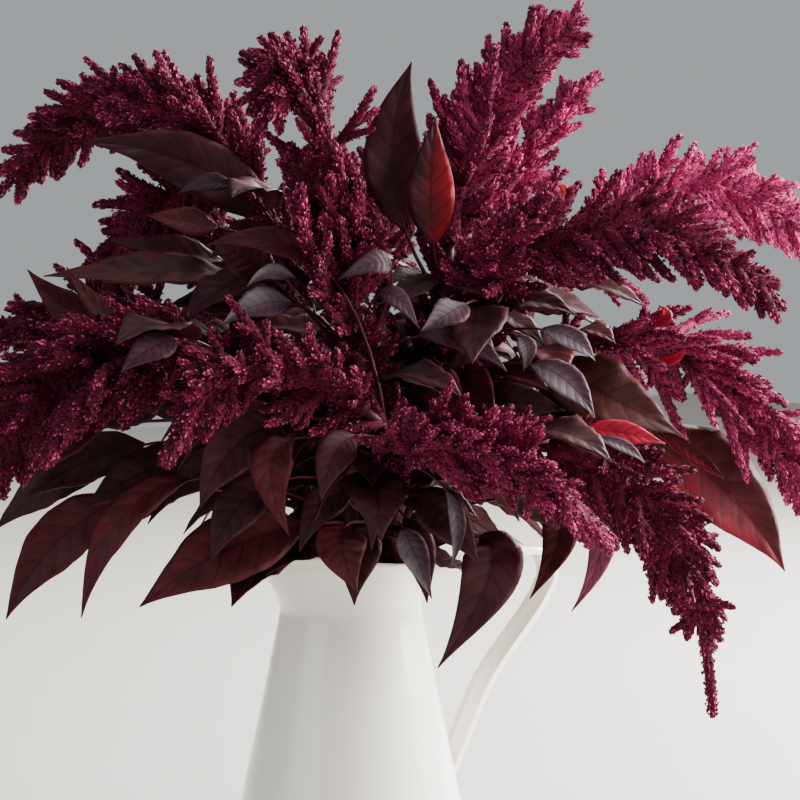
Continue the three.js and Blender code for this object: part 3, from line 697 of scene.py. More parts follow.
def patchRange(tree, fine, toLow, toHigh):
    return rangeOf(tree, fine.outputs["Patches"], 0.3, 0.7, toLow, toHigh)


def noiseOf(tree, place, scale, detail):
    return node(tree, "TexNoise", Vector=place, Scale=scale, Detail=detail).outputs["Fac"]


def bumpInto(tree, shader, height, look, way=1):
    bump = node(tree, "Bump", Height=height, Distance=way * look["bump"], Strength=look["bumpStrength"])
    tree.links.new(bump.outputs["Normal"], shader.inputs["Normal"])


def grey(tree, value):
    return node(tree, "CombineColor", Red=value, Green=value, Blue=value).outputs[0]


def ramp(tree, value, *stops):
    made = tree.nodes.new("ShaderNodeValToRGB")
    tree.links.new(value, made.inputs[0])
    elements = made.color_ramp.elements
    while len(elements) < len(stops):
        elements.new(0.5)
    for element, (place, color) in zip(elements, stops):
        element.position = place
        element.color = (*color, 1)
    return made.outputs[0]


# Florets: dark at their roots, partly painted shade between them, crimson on their sides, pink at their tips,
# partly a painted highlight. A head's lift, which is on its vertices, is painted light: above one it makes
# the head brighter and mixes the pink in, below one it makes it darker.
floretLook = {"root": (0.05, 0.004, 0.012), "side": (0.2, 0.011, 0.045), "tip": (0.52, 0.05, 0.18),
              "pink": (0.84, 0.08, 0.31), "paintedGlint": (0.62, 0.14, 0.27), "roughness": 0.8, "specular": 0.12,
              "grain": 1000.0, "patches": 45.0, "bump": 0.0004, "bumpStrength": 0.6, "shadeGain": 1.3,
              "shadeLeast": 0.16, "paintedLightMost": 1.5, "pinkFrom": 1.0, "pinkTo": 2.2, "pinkMost": 0.45}


def floretMaterial():
    look = floretLook
    material, tree, shader = newMaterial("florets", Roughness=look["roughness"],
                                         Specular_IOR_Level=look["specular"])
    tone, shade, lift = (node(tree, "Attribute", {"attribute_name": name}).outputs["Fac"]
                         for name in ("tone", "shade", "lift"))
    fine = grained(tree, look)
    base = ramp(tree, tone, (0.0, look["root"]), (0.45, look["side"]), (1.0, look["tip"]))
    shaded = math2(tree, "MULTIPLY_ADD", shade, look["shadeGain"], look["shadeLeast"])
    # painted light: the head's lift scales the florets' painted shade and random brightness
    lit = product(tree, shaded, math2(tree, "MINIMUM", lift, look["paintedLightMost"]))
    patch = rangeOf(tree, fine.outputs["Patches"], 0.35, 0.65, 0.65, 1.15)
    cell = rangeOf(tree, fine.outputs["Cells"], 0.35, 0.95, 0.45, 1.5)
    factor = product(tree, product(tree, lit, patch), cell)
    # painted light: heads lifted above one are mixed towards pink
    paintedLightPinkShare = rangeOf(tree, lift, look["pinkFrom"], look["pinkTo"], 0.0, look["pinkMost"], False)
    varied = mixOf(tree, 1.0, mixOf(tree, paintedLightPinkShare, base, (*look["pink"], 1)), grey(tree, factor), "MULTIPLY")
    # painted glint: the brightest florets get a pink highlight at their tips
    paintedGlint = product(tree, rangeOf(tree, shade, 0.8, 0.9), rangeOf(tree, tone, 0.5, 0.95))
    tree.links.new(mixOf(tree, paintedGlint, varied, (*look["paintedGlint"], 1)), shader.inputs["Base Color"])
    bumpInto(tree, shader, fine.outputs["Cells"], look)
    return material


# Leaves: each has a tone of its own, darker along the veins, redder at the edge and underneath. Some tones
# are painted light: the silvery grey is a painted sheen of the sky on dark glossy leaves, on leaves with a
# dark half and a red half the red half is painted glow of light through the leaf, partly over the leaf's own
# red, and the near-black tone of leaves deep in the middle is partly painted shade.
leafTones = {
    "dark": (0.037, 0.0072, 0.011), "wine": (0.05, 0.006, 0.0095), "red": (0.13, 0.0025, 0.013),
    "bronze": (0.05, 0.0125, 0.012), "ember": (0.23, 0.008, 0.015), "silver": (0.15, 0.118, 0.135),
    "mauve": (0.05, 0.022, 0.032), "pink": (0.2, 0.045, 0.085), "bract": (0.32, 0.006, 0.028),
    "deep": (0.033, 0.0085, 0.0105),
}
# Painted light on a leaf: the tones of its shaded half and its lit half, where they differ
shadedAndLitHalves = {"red": ("wine", "red"), "ember": ("dark", "ember"), "silver": ("mauve", "silver")}
leafLook = {"edge": (0.08, 0.009, 0.014), "edgeShare": 0.4, "underside": (0.075, 0.013, 0.022),
            "underShare": 0.55, "deepen": (0.35, 0.3, 0.33), "veinShare": 0.65,
            "veinUnder": (0.2, 0.012, 0.045), "veinUnderShare": 0.6,
            "roughness": 0.48, "specular": 0.14, "grain": 650.0, "patches": 60.0, "bump": 0.0004,
            "bumpStrength": 0.6}


def leafMaterial(name, underside):
    look = leafLook
    material, tree, shader = newMaterial(name, Specular_IOR_Level=look["specular"])
    lines = grouped(tree, veins, UV=node(tree, "UVMap", {"uv_map": "UVMap"}).outputs["UV"])
    fine = grained(tree, look)
    own = node(tree, "Attribute", {"attribute_name": "leafTone"}).outputs["Color"]
    if underside:
        base = mixOf(tree, look["underShare"], own, (*look["underside"], 1))
        share = product(tree, lines.outputs["Veins"], look["veinUnderShare"])
        veined = mixOf(tree, share, base, (*look["veinUnder"], 1))
    else:
        deep = mixOf(tree, 1.0, own, (*look["deepen"], 1), "MULTIPLY")
        veined = mixOf(tree, product(tree, lines.outputs["Veins"], look["veinShare"]), own, deep)
        rimmed = product(tree, lines.outputs["Edge"], look["edgeShare"])
        veined = mixOf(tree, rimmed, veined, (*look["edge"], 1))
    dusk = patchRange(tree, fine, 0.72, 1.25)
    tree.links.new(mixOf(tree, 1.0, veined, grey(tree, dusk), "MULTIPLY"), shader.inputs["Base Color"])
    rough = patchRange(tree, fine, look["roughness"] - 0.06, look["roughness"] + 0.12)
    tree.links.new(rough, shader.inputs["Roughness"])
    height = math2(tree, "MULTIPLY_ADD", fine.outputs["Cells"], 0.25, lines.outputs["Quilt"])
    bumpInto(tree, shader, height, look, -1 if underside else 1)
    return material


# Stems and leaf stalks: fleshy, crimson going to burgundy, faintly striped
stalkLook = {"light": (0.1, 0.009, 0.022), "dark": (0.03, 0.004, 0.008), "roughness": 0.5, "specular": 0.2,
             "stretch": (900, 900, 45), "stripes": 0.6, "grain": 800.0, "patches": 30.0, "bump": 0.0003,
             "bumpStrength": 0.5}


def stalkMaterial():
    look = stalkLook
    material, tree, shader = newMaterial("stalks", Roughness=look["roughness"],
                                         Specular_IOR_Level=look["specular"])
    stretched = node(tree, "Mapping", Vector=objectPlace(tree), Scale=look["stretch"]).outputs[0]
    stripes = noiseOf(tree, stretched, 1.0, 2.0)
    patches = product(tree, grained(tree, look).outputs["Patches"], 1 - look["stripes"])
    both = math2(tree, "MULTIPLY_ADD", stripes, look["stripes"], patches)
    color = ramp(tree, both, (0.38, look["dark"]), (0.62, look["light"]))
    tree.links.new(color, shader.inputs["Base Color"])
    bumpInto(tree, shader, stripes, look)
    return material


# White enamel on sheet steel: glossy, faintly uneven, greyer where it runs thin at the rim and the foot
enamelLook = {"white": (0.87, 0.835, 0.765), "warm": (0.76, 0.72, 0.64), "warmShare": 0.12,
              "thin": (0.55, 0.54, 0.5), "thinShare": 0.35, "rim": (0.2425, 0.2465),
              "foot": (0.0015, -0.0015),
              "wear": 0.003, "wearScale": 160.0, "waveScale": 70.0, "roughness": 0.14, "coat": 0.4,
              "coatRoughness": 0.05, "specular": 0.5, "grain": 420.0, "patches": 9.0, "bump": 0.0006,
              "bumpStrength": 0.35}


def enamelMaterial():
    look = enamelLook
    material, tree, shader = newMaterial("enamel", Coat_Weight=look["coat"],
                                         Coat_Roughness=look["coatRoughness"],
                                         Specular_IOR_Level=look["specular"])
    place = objectPlace(tree)
    fine = grained(tree, look)
    height = node(tree, "SeparateXYZ", Vector=place).outputs["Z"]
    worn = noiseOf(tree, place, look["wearScale"], 4.0)
    rim, foot = (rangeOf(tree, math2(tree, "MULTIPLY_ADD", worn, wear, height), *look[part])
                 for part, wear in (("rim", look["wear"]), ("foot", -look["wear"])))
    thin = product(tree, math2(tree, "MAXIMUM", rim, foot), look["thinShare"])
    warmth = patchRange(tree, fine, 0.0, look["warmShare"])
    base = mixOf(tree, warmth, (*look["white"], 1), (*look["warm"], 1))
    tree.links.new(mixOf(tree, thin, base, (*look["thin"], 1)), shader.inputs["Base Color"])
    rough = patchRange(tree, fine, look["roughness"], look["roughness"] + 0.08)
    tree.links.new(rough, shader.inputs["Roughness"])
    bumpInto(tree, shader, noiseOf(tree, place, look["waveScale"], 1.0), look)
    return material


waterLook = {"deep": (0.8, 0.86, 0.84), "clear": (0.88, 0.9, 0.88), "roughness": 0.03, "ior": 1.33,
             "rippleScale": 35.0, "bump": 0.0008, "bumpStrength": 0.3}


def waterMaterial():
    look = waterLook
    material, tree, shader = newMaterial("water", Roughness=look["roughness"], IOR=look["ior"],
                                         Transmission_Weight=1.0)
    ripples = noiseOf(tree, objectPlace(tree), look["rippleScale"], 2.0)
    tint = ramp(tree, ripples, (0.3, look["deep"]), (0.7, look["clear"]))
    tree.links.new(tint, shader.inputs["Base Color"])
    bumpInto(tree, shader, ripples, look)
    return material


florets = floretMaterial()
leafUpper = leafMaterial("leafUpper", False)
leafUnder = leafMaterial("leafUnder", True)
stalks = stalkMaterial()
enamel = enamelMaterial()
waterClear = waterMaterial()
print("materials: 6")

# Plumes
sprig = {"lengths": (12, 17, 23, 31, 42, 58), "variants": 2, "radius": 4.7, "core": 0.8, "taper": 0.38,
         "point": 0.32, "knobs": 0.2, "knobLength": 6.5, "spacing": 3.25, "bare": 0.14, "floretLength": 2.7,
         "floretRadius": 1.42, "lean": (28, 50, 16), "coreSides": 6, "coreRing": 9, "coreShade": 0.42,
         "coreTone": 0.3, "footShade": 0.4, "seed": (7, 101)}
plumeAxis = {"length": 220, "radius": 9, "tailRadius": 3.4, "spacing": 3.5, "variants": 2, "seed": 31}
sideSprig = {"from": 0.18, "span": 0.42, "shortest": 12, "longer": 9, "slim": (1.15, 0.5), "along": 0.75,
             "out": 0.66, "ahead": 0.15, "thick": 0.85}
plume = {"sideSprigs": 2, "frontFillers": 52, "backFillers": 32, "fillerShare": 0.6, "fillerTaper": 0.55,
         "fillerOpening": (72, 30), "fillerFrom": 0.01, "fillerTurn": 1.31, "bend": 0.3, "hang": -0.5,
         "wander": 0.3, "thick": 1.2, "spikeThick": (1.12, 0.2), "end": 0.92,
         "tails": {"right_droop": 0.76, "top_left": 0.84, "right_low": 0.86},
         "bulk": {"front_left": 1.35, "back_left": 1.6, "top_left": 1.5, "right_mid": 1.2, "left_low": 1.35,
                  "front_low": 1.25},
         "reach": {"back_left": 1.2, "top_left": 1.15, "left_low": 1.2, "front_low": 1.15, "right_mid": 1.1},
         # lift is painted light: heads where the light falls on the right are brighter and pinker, those on
         # the left darker
         "lift": {"right_back": 1.9, "right_low": 1.42, "right_mid": 1.1, "top_right": 1.3, "top_back": 1.65,
                  "left_mid": 0.85, "left_low": 0.9, "left_back": 0.8, "front_low": 1.2},
         "branchThick": 0.8, "branchFillers": 0.3, "branchReach": 0.85, "branchEnd": 0.95}
sprigBall = 2.5


def roundedEnd(s, part):
    return math.sqrt(max(0.0, 1 - 0.9 * (max(0.0, s - 1 + part) / part) ** 2))


def sprigFullness(s):
    return sprig["radius"] * (1 - sprig["taper"] * s) * roundedEnd(s, sprig["point"])


def axisFullness(s):
    tail = plumeAxis["tailRadius"]
    return (tail + (plumeAxis["radius"] - tail) * (1 - s) ** 1.3) * roundedEnd(s, 0.03)


def floretedUnit(name, length, radiusAt, spacing, seed, bare=0.0):
    draw = drawsFrom(seed)
    bm = bmesh.new()
    tone, shade, lift = (bm.verts.layers.float.new(label) for label in ("tone", "shade", "lift"))
    tubeOf(bm, sprig["coreSides"], max(3, round(length / sprig["coreRing"])), length)
    for vert in bm.verts:
        radius = sprig["core"] * radiusAt(vert.co.z / length)
        vert.co.x, vert.co.y = vert.co.x * radius, vert.co.y * radius
        # painted shade: the core between the florets is darker
        vert[shade], vert[tone] = sprig["coreShade"], sprig["coreTone"]
    middle = sum(radiusAt((k + 0.5) / 20) for k in range(20)) / 20
    count = round(2 * math.pi * middle * length * (1 - bare) / spacing**2)
    least, steeper, vary = sprig["lean"]
    for i in range(count):
        s = bare + (1 - bare) * (i + 0.5) / count
        turn = i * golden + 0.5 * draw()
        knob = 1 + sprig["knobs"] * math.sin(2 * math.pi * s * length / sprig["knobLength"] + seed)
        size = 0.75 + 0.5 * draw()
        lean = math.radians(least + steeper * s**3 + vary * draw())
        out = Vector(flatWay(turn))
        way = out * math.cos(lean) + Vector((0, 0, math.sin(lean)))
        reach = radiusAt(s) * knob * (0.9 + 0.2 * draw())
        depth = sprig["floretLength"] * size
        tip = out * reach + Vector((0, 0, s * length + 0.4 * depth))
        turned = way.to_track_quat("Z", "Y").to_matrix().to_4x4()
        place = Matrix.Translation(tip - way * depth / 2) @ turned @ Matrix.Rotation(6.3 * draw(), 4, "Z")
        made = bmesh.ops.create_cone(bm, cap_ends=True, segments=3, radius1=sprig["floretRadius"] * size,
                                     radius2=0, depth=depth, matrix=place)["verts"]
        # random brightness, with painted shade darkening florets towards the sprig's foot
        bright = draw() * (sprig["footShade"] + (1 - sprig["footShade"]) * min(1, 1.6 * s))
        for vert in made:
            vert[shade], vert[tone] = bright, sprig["coreTone"]
        # the tip takes the pink end of the ramp, partly a painted highlight
        made[-1][tone] = 1.0
    return {**keepUnit(name, bm), "depth": length}


def sprigUnit(length, variant):
    seed = sprig["seed"][0] * length + sprig["seed"][1] * variant
    return floretedUnit(f"sprig{length}", length, sprigFullness, sprig["spacing"], seed, sprig["bare"])


sprigUnits = [[sprigUnit(length, k) for k in range(sprig["variants"])] for length in sprig["lengths"]]
axisUnits = [floretedUnit("plumeAxis", plumeAxis["length"], axisFullness, plumeAxis["spacing"],
                          plumeAxis["seed"] + k) for k in range(plumeAxis["variants"])]


def addSprig(bm, line, pick, thick, lift=1.0):
    curveShare, length = evenCurve(line)
    nearest = int(np.argmin([abs(size - length) for size in sprig["lengths"]]))
    unit = sprigUnits[nearest][int(pick * 997) % sprig["variants"]]
    stretched = unit["points"] * (1, 1, length / unit["depth"])
    aside = sidewaysOf(line)
    turned = turnAbout(aside, unitOf(line[1] - line[0]), 6.28 * pick)
    if abs(turned @ unitOf(line[2] - line[0])) > 0.9:
        turned = aside
    addShaped(bm, unit, bendAlong(stretched, length, curveShare, turned, thick), lift=lift)


def addSideSprigs(bm, line, draw, count, lift=1.0):  # short ones that give a longer one its taper
    least, more, (slim, slimmer) = sideSprig["shortest"], sideSprig["longer"], sideSprig["slim"]
    found = []
    for k in range(count):
        t = sideSprig["from"] + sideSprig["span"] * (k + 0.6 * draw()) / count
        root, along = curveAt(line, t), tangentAt(line, t)
        aside = sidewaysOf(line)
        outward = outwardOf(aside, np.cross(along, aside), k * golden + 3 * draw())
        size = (least + more * draw()) * (slim - slimmer * t)
        way = unitOf(along * sideSprig["along"] + outward * sideSprig["out"])
        tip = root + way * size + along * sideSprig["ahead"] * size
        found.append(np.array([root, root + way * 0.5 * size, tip]))
    for side in found:
        addSprig(bm, side, draw(), sideSprig["thick"], lift)


def addFillers(bm, controls, fillers, settings, draw):
    stem, node, index, end, reach, lift = settings
    aside = sidewaysOf(controls)
    widest, narrower = plume["fillerOpening"]
    for i in range(fillers):
        s = (i + 0.5) / fillers
        t = plume["fillerFrom"] + (end - plume["fillerFrom"]) * s
        root, along = curveAt(controls, t), tangentAt(controls, t)
        across = np.cross(along, aside)
        size = stem[6] * plume["fillerShare"] * (1 - plume["fillerTaper"] * s**2)
        size = size * (0.75 + 0.5 * draw()) * reach
        opening = math.radians(widest - narrower * s)
        for swing in (0, 0.6, -0.6, 1.2):
            turn = i * golden * plume["fillerTurn"] + 2.1 * index + swing + 0.8 * draw()
            outward = outwardOf(aside, across, turn)
            way = along * math.cos(opening) + outward * math.sin(opening)
            line = spikeLine(root, way, along, size, stem[7] if way[2] > -0.1 else plume["hang"])
            line[2] += along * plume["bend"] * size * draw()
            line[1] += plume["wander"] * size * (np.array([draw(), draw(), draw()]) - 0.5)
            balls = curveAt(line, np.linspace(0.3, 1, 4))
            if isClear(balls, sprigBall, node, clearance=0):
                addSprig(bm, line, draw(), plume["thick"], lift)
                break


# Second axes of the broadest heads, which the CAD model leaves out
branches = {
    "top_left": (((2, -62, 418), (-20, -66, 470), (-28, -74, 506)),
                 ((2, -58, 425), (10, -62, 455), (2, -64, 500)),
                 ((0, -66, 400), (-22, -84, 430), (-30, -92, 480))),
    "top_right": (((66, 10, 440), (58, 24, 500), (78, 26, 556)),
                  ((74, 0, 405), (100, -18, 436), (108, -30, 480))),
    "right_mid": (((100, -40, 428), (90, -60, 455), (124, -80, 480)),
                  ((92, -40, 415), (84, -66, 446), (106, -84, 462))),
    "back_left": (((-70, 42, 490), (-110, 40, 545), (-160, 60, 548)),
                  ((-85, 50, 486), (-135, 60, 490), (-168, 66, 428))),
    "front_low": (((42, -112, 322), (74, -136, 338), (112, -152, 330)),),
    "left_low": (((-110, -58, 384), (-150, -96, 380), (-178, -110, 330)),),
}


def addAxis(bm, unit, controls, aside, thick, lift):
    curveShare, length = evenCurve(controls)
    points = unit["points"] * (1, 1, length / unit["depth"])
    addShaped(bm, unit, bendAlong(points, length, curveShare, aside, thick), lift=lift)
    return length


def plumePiece(entry, index):
    stem, name = entry["stem"], entry["name"]
    node = "head_" + name
    bm = bmesh.new()
    draw = drawsFor("plumes", index)
    controls = headControls(stem)
    axis = axisUnits[index % plumeAxis["variants"]]
    # the head's painted light: above one brighter and pinker, below one darker
    lift = plume["lift"].get(name, 1.0)
    addAxis(bm, axis, controls, sidewaysOf(controls), 1.0, lift)
    end = plume["tails"].get(name, plume["end"])
    reach = plume["reach"].get(name, 1)
    thickest, thinner = plume["spikeThick"]
    for spike in entry["spikes"]:
        addSprig(bm, spike["line"], draw(), thickest - thinner * spike["s"], lift)
        addSideSprigs(bm, spike["line"], draw, plume["sideSprigs"] if spike["s"] < 0.75 else 1, lift)
    most = plume["frontFillers"] if stem[3][1] <= bouquet["backFrom"] else plume["backFillers"]
    lines = [(controls, round(most * plume["bulk"].get(name, 1)), end, reach)]
    for branch in branches.get(name, ()):
        branch = np.array(branch, dtype=float)
        size = addAxis(bm, axis, branch, sidewaysOf(branch), plume["branchThick"], lift)
        fillers = round(size * plume["branchFillers"])
        lines.append((branch, fillers, plume["branchEnd"], reach * plume["branchReach"]))
    for number, (line, fillers, until, size) in enumerate(lines):
        addFillers(bm, line, fillers, (stem, node, index + number, until, size, lift), draw)
    return finishPiece("plume_" + name, bm, [florets], [node])


# Tufts of florets in the leaf axils, which fill the middle between the stems
tuft = {"count": 12, "shortest": 20, "longest": 42, "fromShare": 0.42, "sides": 1, "clearance": -1.5,
        "thick": 1.1, "along": 0.6, "out": 0.8, "rise": 0.1, "denseFrom": 0.6,
        "dense": {"top_right": 18, "right_mid": 16, "top_left": 15, "back_left": 16, "top_back": 12}}


def tuftsPiece(entry, index):
    bm = bmesh.new()
    draw = drawsFor("tufts", index)
    places, ways = entry["fine"]
    node = "stem_" + entry["name"]
    count = tuft["dense"].get(entry["name"], tuft["count"])
    start = tuft["denseFrom" if entry["name"] in tuft["dense"] else "fromShare"]
    for i in range(count):
        share = start + (0.99 - start) * (i + draw()) / count
        place = int(share * (len(places) - 1))
        root, along = places[place], ways[place]
        aside = unitOf(np.cross(along, toViewer))
        size = tuft["shortest"] + (tuft["longest"] - tuft["shortest"]) * draw()
        for swing in (0, 0.7, -0.7, 1.5, -1.5, 2.4, 3.1):
            outward = outwardOf(aside, np.cross(along, aside), i * golden + 1.7 * index + swing)
            way = unitOf(along * tuft["along"] + outward * tuft["out"])
            line = spikeLine(root, way, along, size, tuft["rise"])
            balls = curveAt(line, np.linspace(0.35, 1, 4))
            if isClear(balls, sprigBall, node, ownBlades=True, clearance=tuft["clearance"]):
                addSprig(bm, line, draw(), tuft["thick"])
                addSideSprigs(bm, line, draw, tuft["sides"])
                take(balls, sprigBall, node)
                break
    return finishPiece("tufts_" + entry["name"], bm, [florets], [node])


plumes = [plumePiece(entry, index) for index, entry in enumerate(plan)]
print("plumes:", len(plumes))

# Leaves
blade = {"large": (10, 24), "medium": (8, 16), "small": (6, 12), "largeFrom": 30, "mediumFrom": 19,
         "thickness": 0.5, "quilting": 0.013, "ripple": 0.06, "ripples": 6, "edgeCurl": 0.08}


def bladeUnit(name, across, along):
    bm = bmesh.new()
    bm.loops.layers.uv.new("UVMap")
    bm.verts.layers.float_color.new("leafTone")
    bmesh.ops.create_grid(bm, x_segments=across, y_segments=along, size=0.5, calc_uvs=True)
    smoothFaces(bm)
    unit = keepUnit(name, bm)
    return {**unit, "u": 2 * unit["points"][:, 0], "v": unit["points"][:, 1] + 0.5}


bladeUnits = {size: bladeUnit("blade" + size, *blade[size]) for size in ("large", "medium", "small")}


def shapedBlade(unit, leaf, seed):
    u, v, width = unit["u"], unit["v"], leaf["width"]
    half = np.maximum(0.5 * width * bladeShare(v), 0.9 * (1 - v) + 0.2)
    t = leaf["petiole"] + (1 - leaf["petiole"]) * v
    at, along = curveAt(leaf["controls"], t), tangentAt(leaf["controls"], t)
    normal = bladeNormal(leaf, along)
    side = np.cross(along, normal)
    rings = 3 if width < 25 else 5
    wave = -np.cos(np.pi * (2 + rings * v)) * bouquet["bladeWave"] * u * np.abs(u)
    rise = half * (bouquet["bladeFold"] * np.abs(u) ** 1.3 + wave)
    rippled = np.sin(2 * np.pi * blade["ripples"] * v + seed)
    rise += blade["ripple"] * half * rippled * np.abs(u) ** 3 * np.sign(u)
    phase = vein["pairs"] * (v - vein["sweep"] * np.abs(u) ** vein["rounding"])
    puff = np.abs(np.sin(np.pi * (phase + 0.5))) ** 0.7 * np.minimum(1, 5 * np.abs(u)) * (1 - u**4)
    rise += blade["quilting"] * width * (puff - 0.4)
    rise -= blade["edgeCurl"] * half * np.abs(u) ** 6
    return at + side * (u * half)[:, None] + normal * rise[:, None]


def leavesPiece(entry, index):
    bm = bmesh.new()
    draw = drawsFor("leaves", index)
    for number, leaf in enumerate(entry["leaves"] + entry["small"]):
        fine = number < len(entry["leaves"])
        size = "medium" if leaf["width"] > blade["mediumFrom"] else "small"
        size = "large" if fine and leaf["width"] > blade["largeFrom"] else size
        unit = bladeUnits[size]
        # painted light across the blade: where a leaf has shaded and lit halves, the lit tone grows towards
        # one edge and the base
        halves = shadedAndLitHalves.get(leaf["tone"], (leaf["tone"],) * 2)
        first, second = (np.array(leafTones[tone]) for tone in halves)
        share = np.clip(0.55 + 0.9 * unit["u"] - 0.3 * unit["v"], 0, 1)[:, None]
        tone = (first + (second - first) * share) * (0.85 + 0.35 * draw())
        tone = np.hstack([tone, np.ones((len(tone), 1))])
        addShaped(bm, unit, shapedBlade(unit, leaf, number + 3 * index), leafTone=tone)
    name = entry["name"]
    piece = finishPiece("leaves_" + name, bm, [leafUpper, leafUnder], ["stem_" + name])
    sheet = piece.modifiers.new("thickness", "SOLIDIFY")
    sheet.thickness = blade["thickness"] * millimetre
    sheet.offset = 0
    sheet.material_offset = 1
    sheet.use_quality_normals = True
    return piece


# Small leaves along the free stems, which close the middle of the bouquet, mostly in the near-black tone that
# is partly painted shade there
smallLeaf = {"count": 18, "shortest": 50, "longest": 105, "width": 0.42, "lowest": 4, "clearance": -3,
             "rise": (-0.25, 0.6), "tones": ("deep", "dark", "deep", "wine", "deep")}


def smallLeaves(entry, index):
    places = entry["fine"][0]
    draw = drawsFor("smallLeaves", index)
    count, low, high = smallLeaf["count"], smallLeaf["shortest"], smallLeaf["longest"]
    found = []
    for i in range(count):
        place = smallLeaf["lowest"] + int((i + draw()) / count * (len(places) - 8))
        ring = places[min(len(places) - 3, place)]
        length = low + (high - low) * draw()
        turn = i * golden + 3.3 * index + draw()
        rise = smallLeaf["rise"][0] + smallLeaf["rise"][1] * draw()
        tone = smallLeaf["tones"][int(draw() * 4.99)]
        choices = []
        for shorter in (1, 0.7):
            for swing in (0, 0.6, -0.6, 1.2, -1.2, 2, -2, 2.8):
                outward = flatWay(turn + swing)
                size = length * shorter
                shoulder = ring + outward * 0.45 * size + up * (0.1 + rise) * size * 0.6
                tip = ring + outward * 0.95 * size + up * (rise - 0.15) * size
                facing = unitOf(up * (0.4 + 0.8 * draw()) + outward * 0.5 + toViewer * 0.3)
                choices.append(leafOf(ring, shoulder, tip, smallLeaf["width"] * size, facing, tone))
        found.append(placeLeaf(entry["stem"], choices, clearance=smallLeaf["clearance"]))
    return [leaf for leaf in found if leaf]


for index, entry in enumerate(plan):
    entry["small"] += smallLeaves(entry, index)
for makePiece in (leavesPiece, tuftsPiece):
    for index, entry in enumerate(plan):
        makePiece(entry, index)
print("small leaves:", sum(len(entry["small"]) for entry in plan))

# Stems with their leaf stalks and midribs
stalk = {"sides": 10, "rings": 44, "groove": 0.06, "node": 0.22, "nodeLength": 4.5, "petioleFoot": 1.7,
         "petioleEnd": 1.0, "ribTip": 0.25, "ribSides": 5, "ribRings": 9, "ribShare": 0.985, "ribSunk": 0.75}


def tubeUnit(name, sides, rings):
    bm = bmesh.new()
    tubeOf(bm, sides, rings)
    return keepUnit(name, bm)


stemUnit = tubeUnit("stemTube", stalk["sides"], stalk["rings"])
ribUnit = tubeUnit("ribTube", stalk["ribSides"], stalk["ribRings"])


def stalkPiece(entry):
    bm = bmesh.new()
    stem = entry["stem"]
    places, ways = entry["fine"]
    reached = reachedAlong(places)
    whole = reached[-1]

    def stemShare(share):
        at, along = (np.stack([np.interp(share * whole, reached, rows[:, k]) for k in range(3)], axis=1)
                     for rows in (places, ways))
        return at, unitOf(along)

    points = stemUnit["points"].copy()
    share = points[:, 2]
    radius = bouquet["stemFoot"] + (bouquet["stemTop"] - bouquet["stemFoot"]) * share
    angle = np.arctan2(points[:, 1], points[:, 0])
    radius = radius * (1 + stalk["groove"] * np.cos(0.5 * stalk["sides"] * angle))
    for leaf in entry["leaves"] + entry["small"]:
        near = reached[np.argmin(np.linalg.norm(places - leaf["controls"][0], axis=1))]
        radius = radius * (1 + stalk["node"] * np.exp(-(((share * whole - near) / stalk["nodeLength"]) ** 2)))
    points[:, 0] *= radius
    points[:, 1] *= radius
    addShaped(bm, stemUnit, bendAlong(points, 1.0, stemShare, stemFrame(stem)[0]))
    for leaf in entry["leaves"] + entry["small"]:
        points = ribUnit["points"].copy()
        t = points[:, 2]
        small = min(1.0, 0.45 + leaf["width"] / 60)
        widths = (stalk["petioleFoot"], stalk["petioleEnd"], stalk["ribTip"])
        radius = np.interp(t, (0, leaf["petiole"], 1), widths)
        radius = radius * small
        t = t * stalk["ribShare"]
        at, along = curveAt(leaf["controls"], t), tangentAt(leaf["controls"], t)
        normal = bladeNormal(leaf, along)
        side = np.cross(along, normal)
        sunk = np.clip((t - leaf["petiole"]) * 12, 0, 1) * radius * stalk["ribSunk"]
        sideways, downward = points[:, 0] * radius, points[:, 1] * radius + sunk
        shaped = at + side * sideways[:, None] - normal * downward[:, None]
        addShaped(bm, ribUnit, shaped)
    return finishPiece("stalk_" + entry["name"], bm, [stalks], ["stem_" + entry["name"]])


stalkPieces = [stalkPiece(entry) for entry in plan]
print("stems:", len(stalkPieces))

# Pitcher body, in the part's own frame with its handle along +X
pitcher = {"baseRadius": 89, "footRounding": 6, "neckRadius": 45.5, "neckHeight": 211, "rimHeight": 243,
           "spoutRise": 12, "spoutReach": 24, "mouthFlare": 3.5, "wall": 1.5, "beadRadius": 1.75,
           "creaseSoftness": 2.2, "steps": 96}


def outerRadius(z):  # the cone drawn softly into the neck
    p = pitcher
    below = p["neckHeight"] - z
    wider = (p["baseRadius"] - p["neckRadius"]) * below / (p["neckHeight"] - p["footRounding"])
    cone = p["neckRadius"] + wider
    neck = p["neckRadius"] - 0.4 + 2.0 * max(0.0, (z - p["neckHeight"]) / 32) ** 1.6
    return 0.5 * (cone + neck + math.hypot(cone - neck, p["creaseSoftness"]))


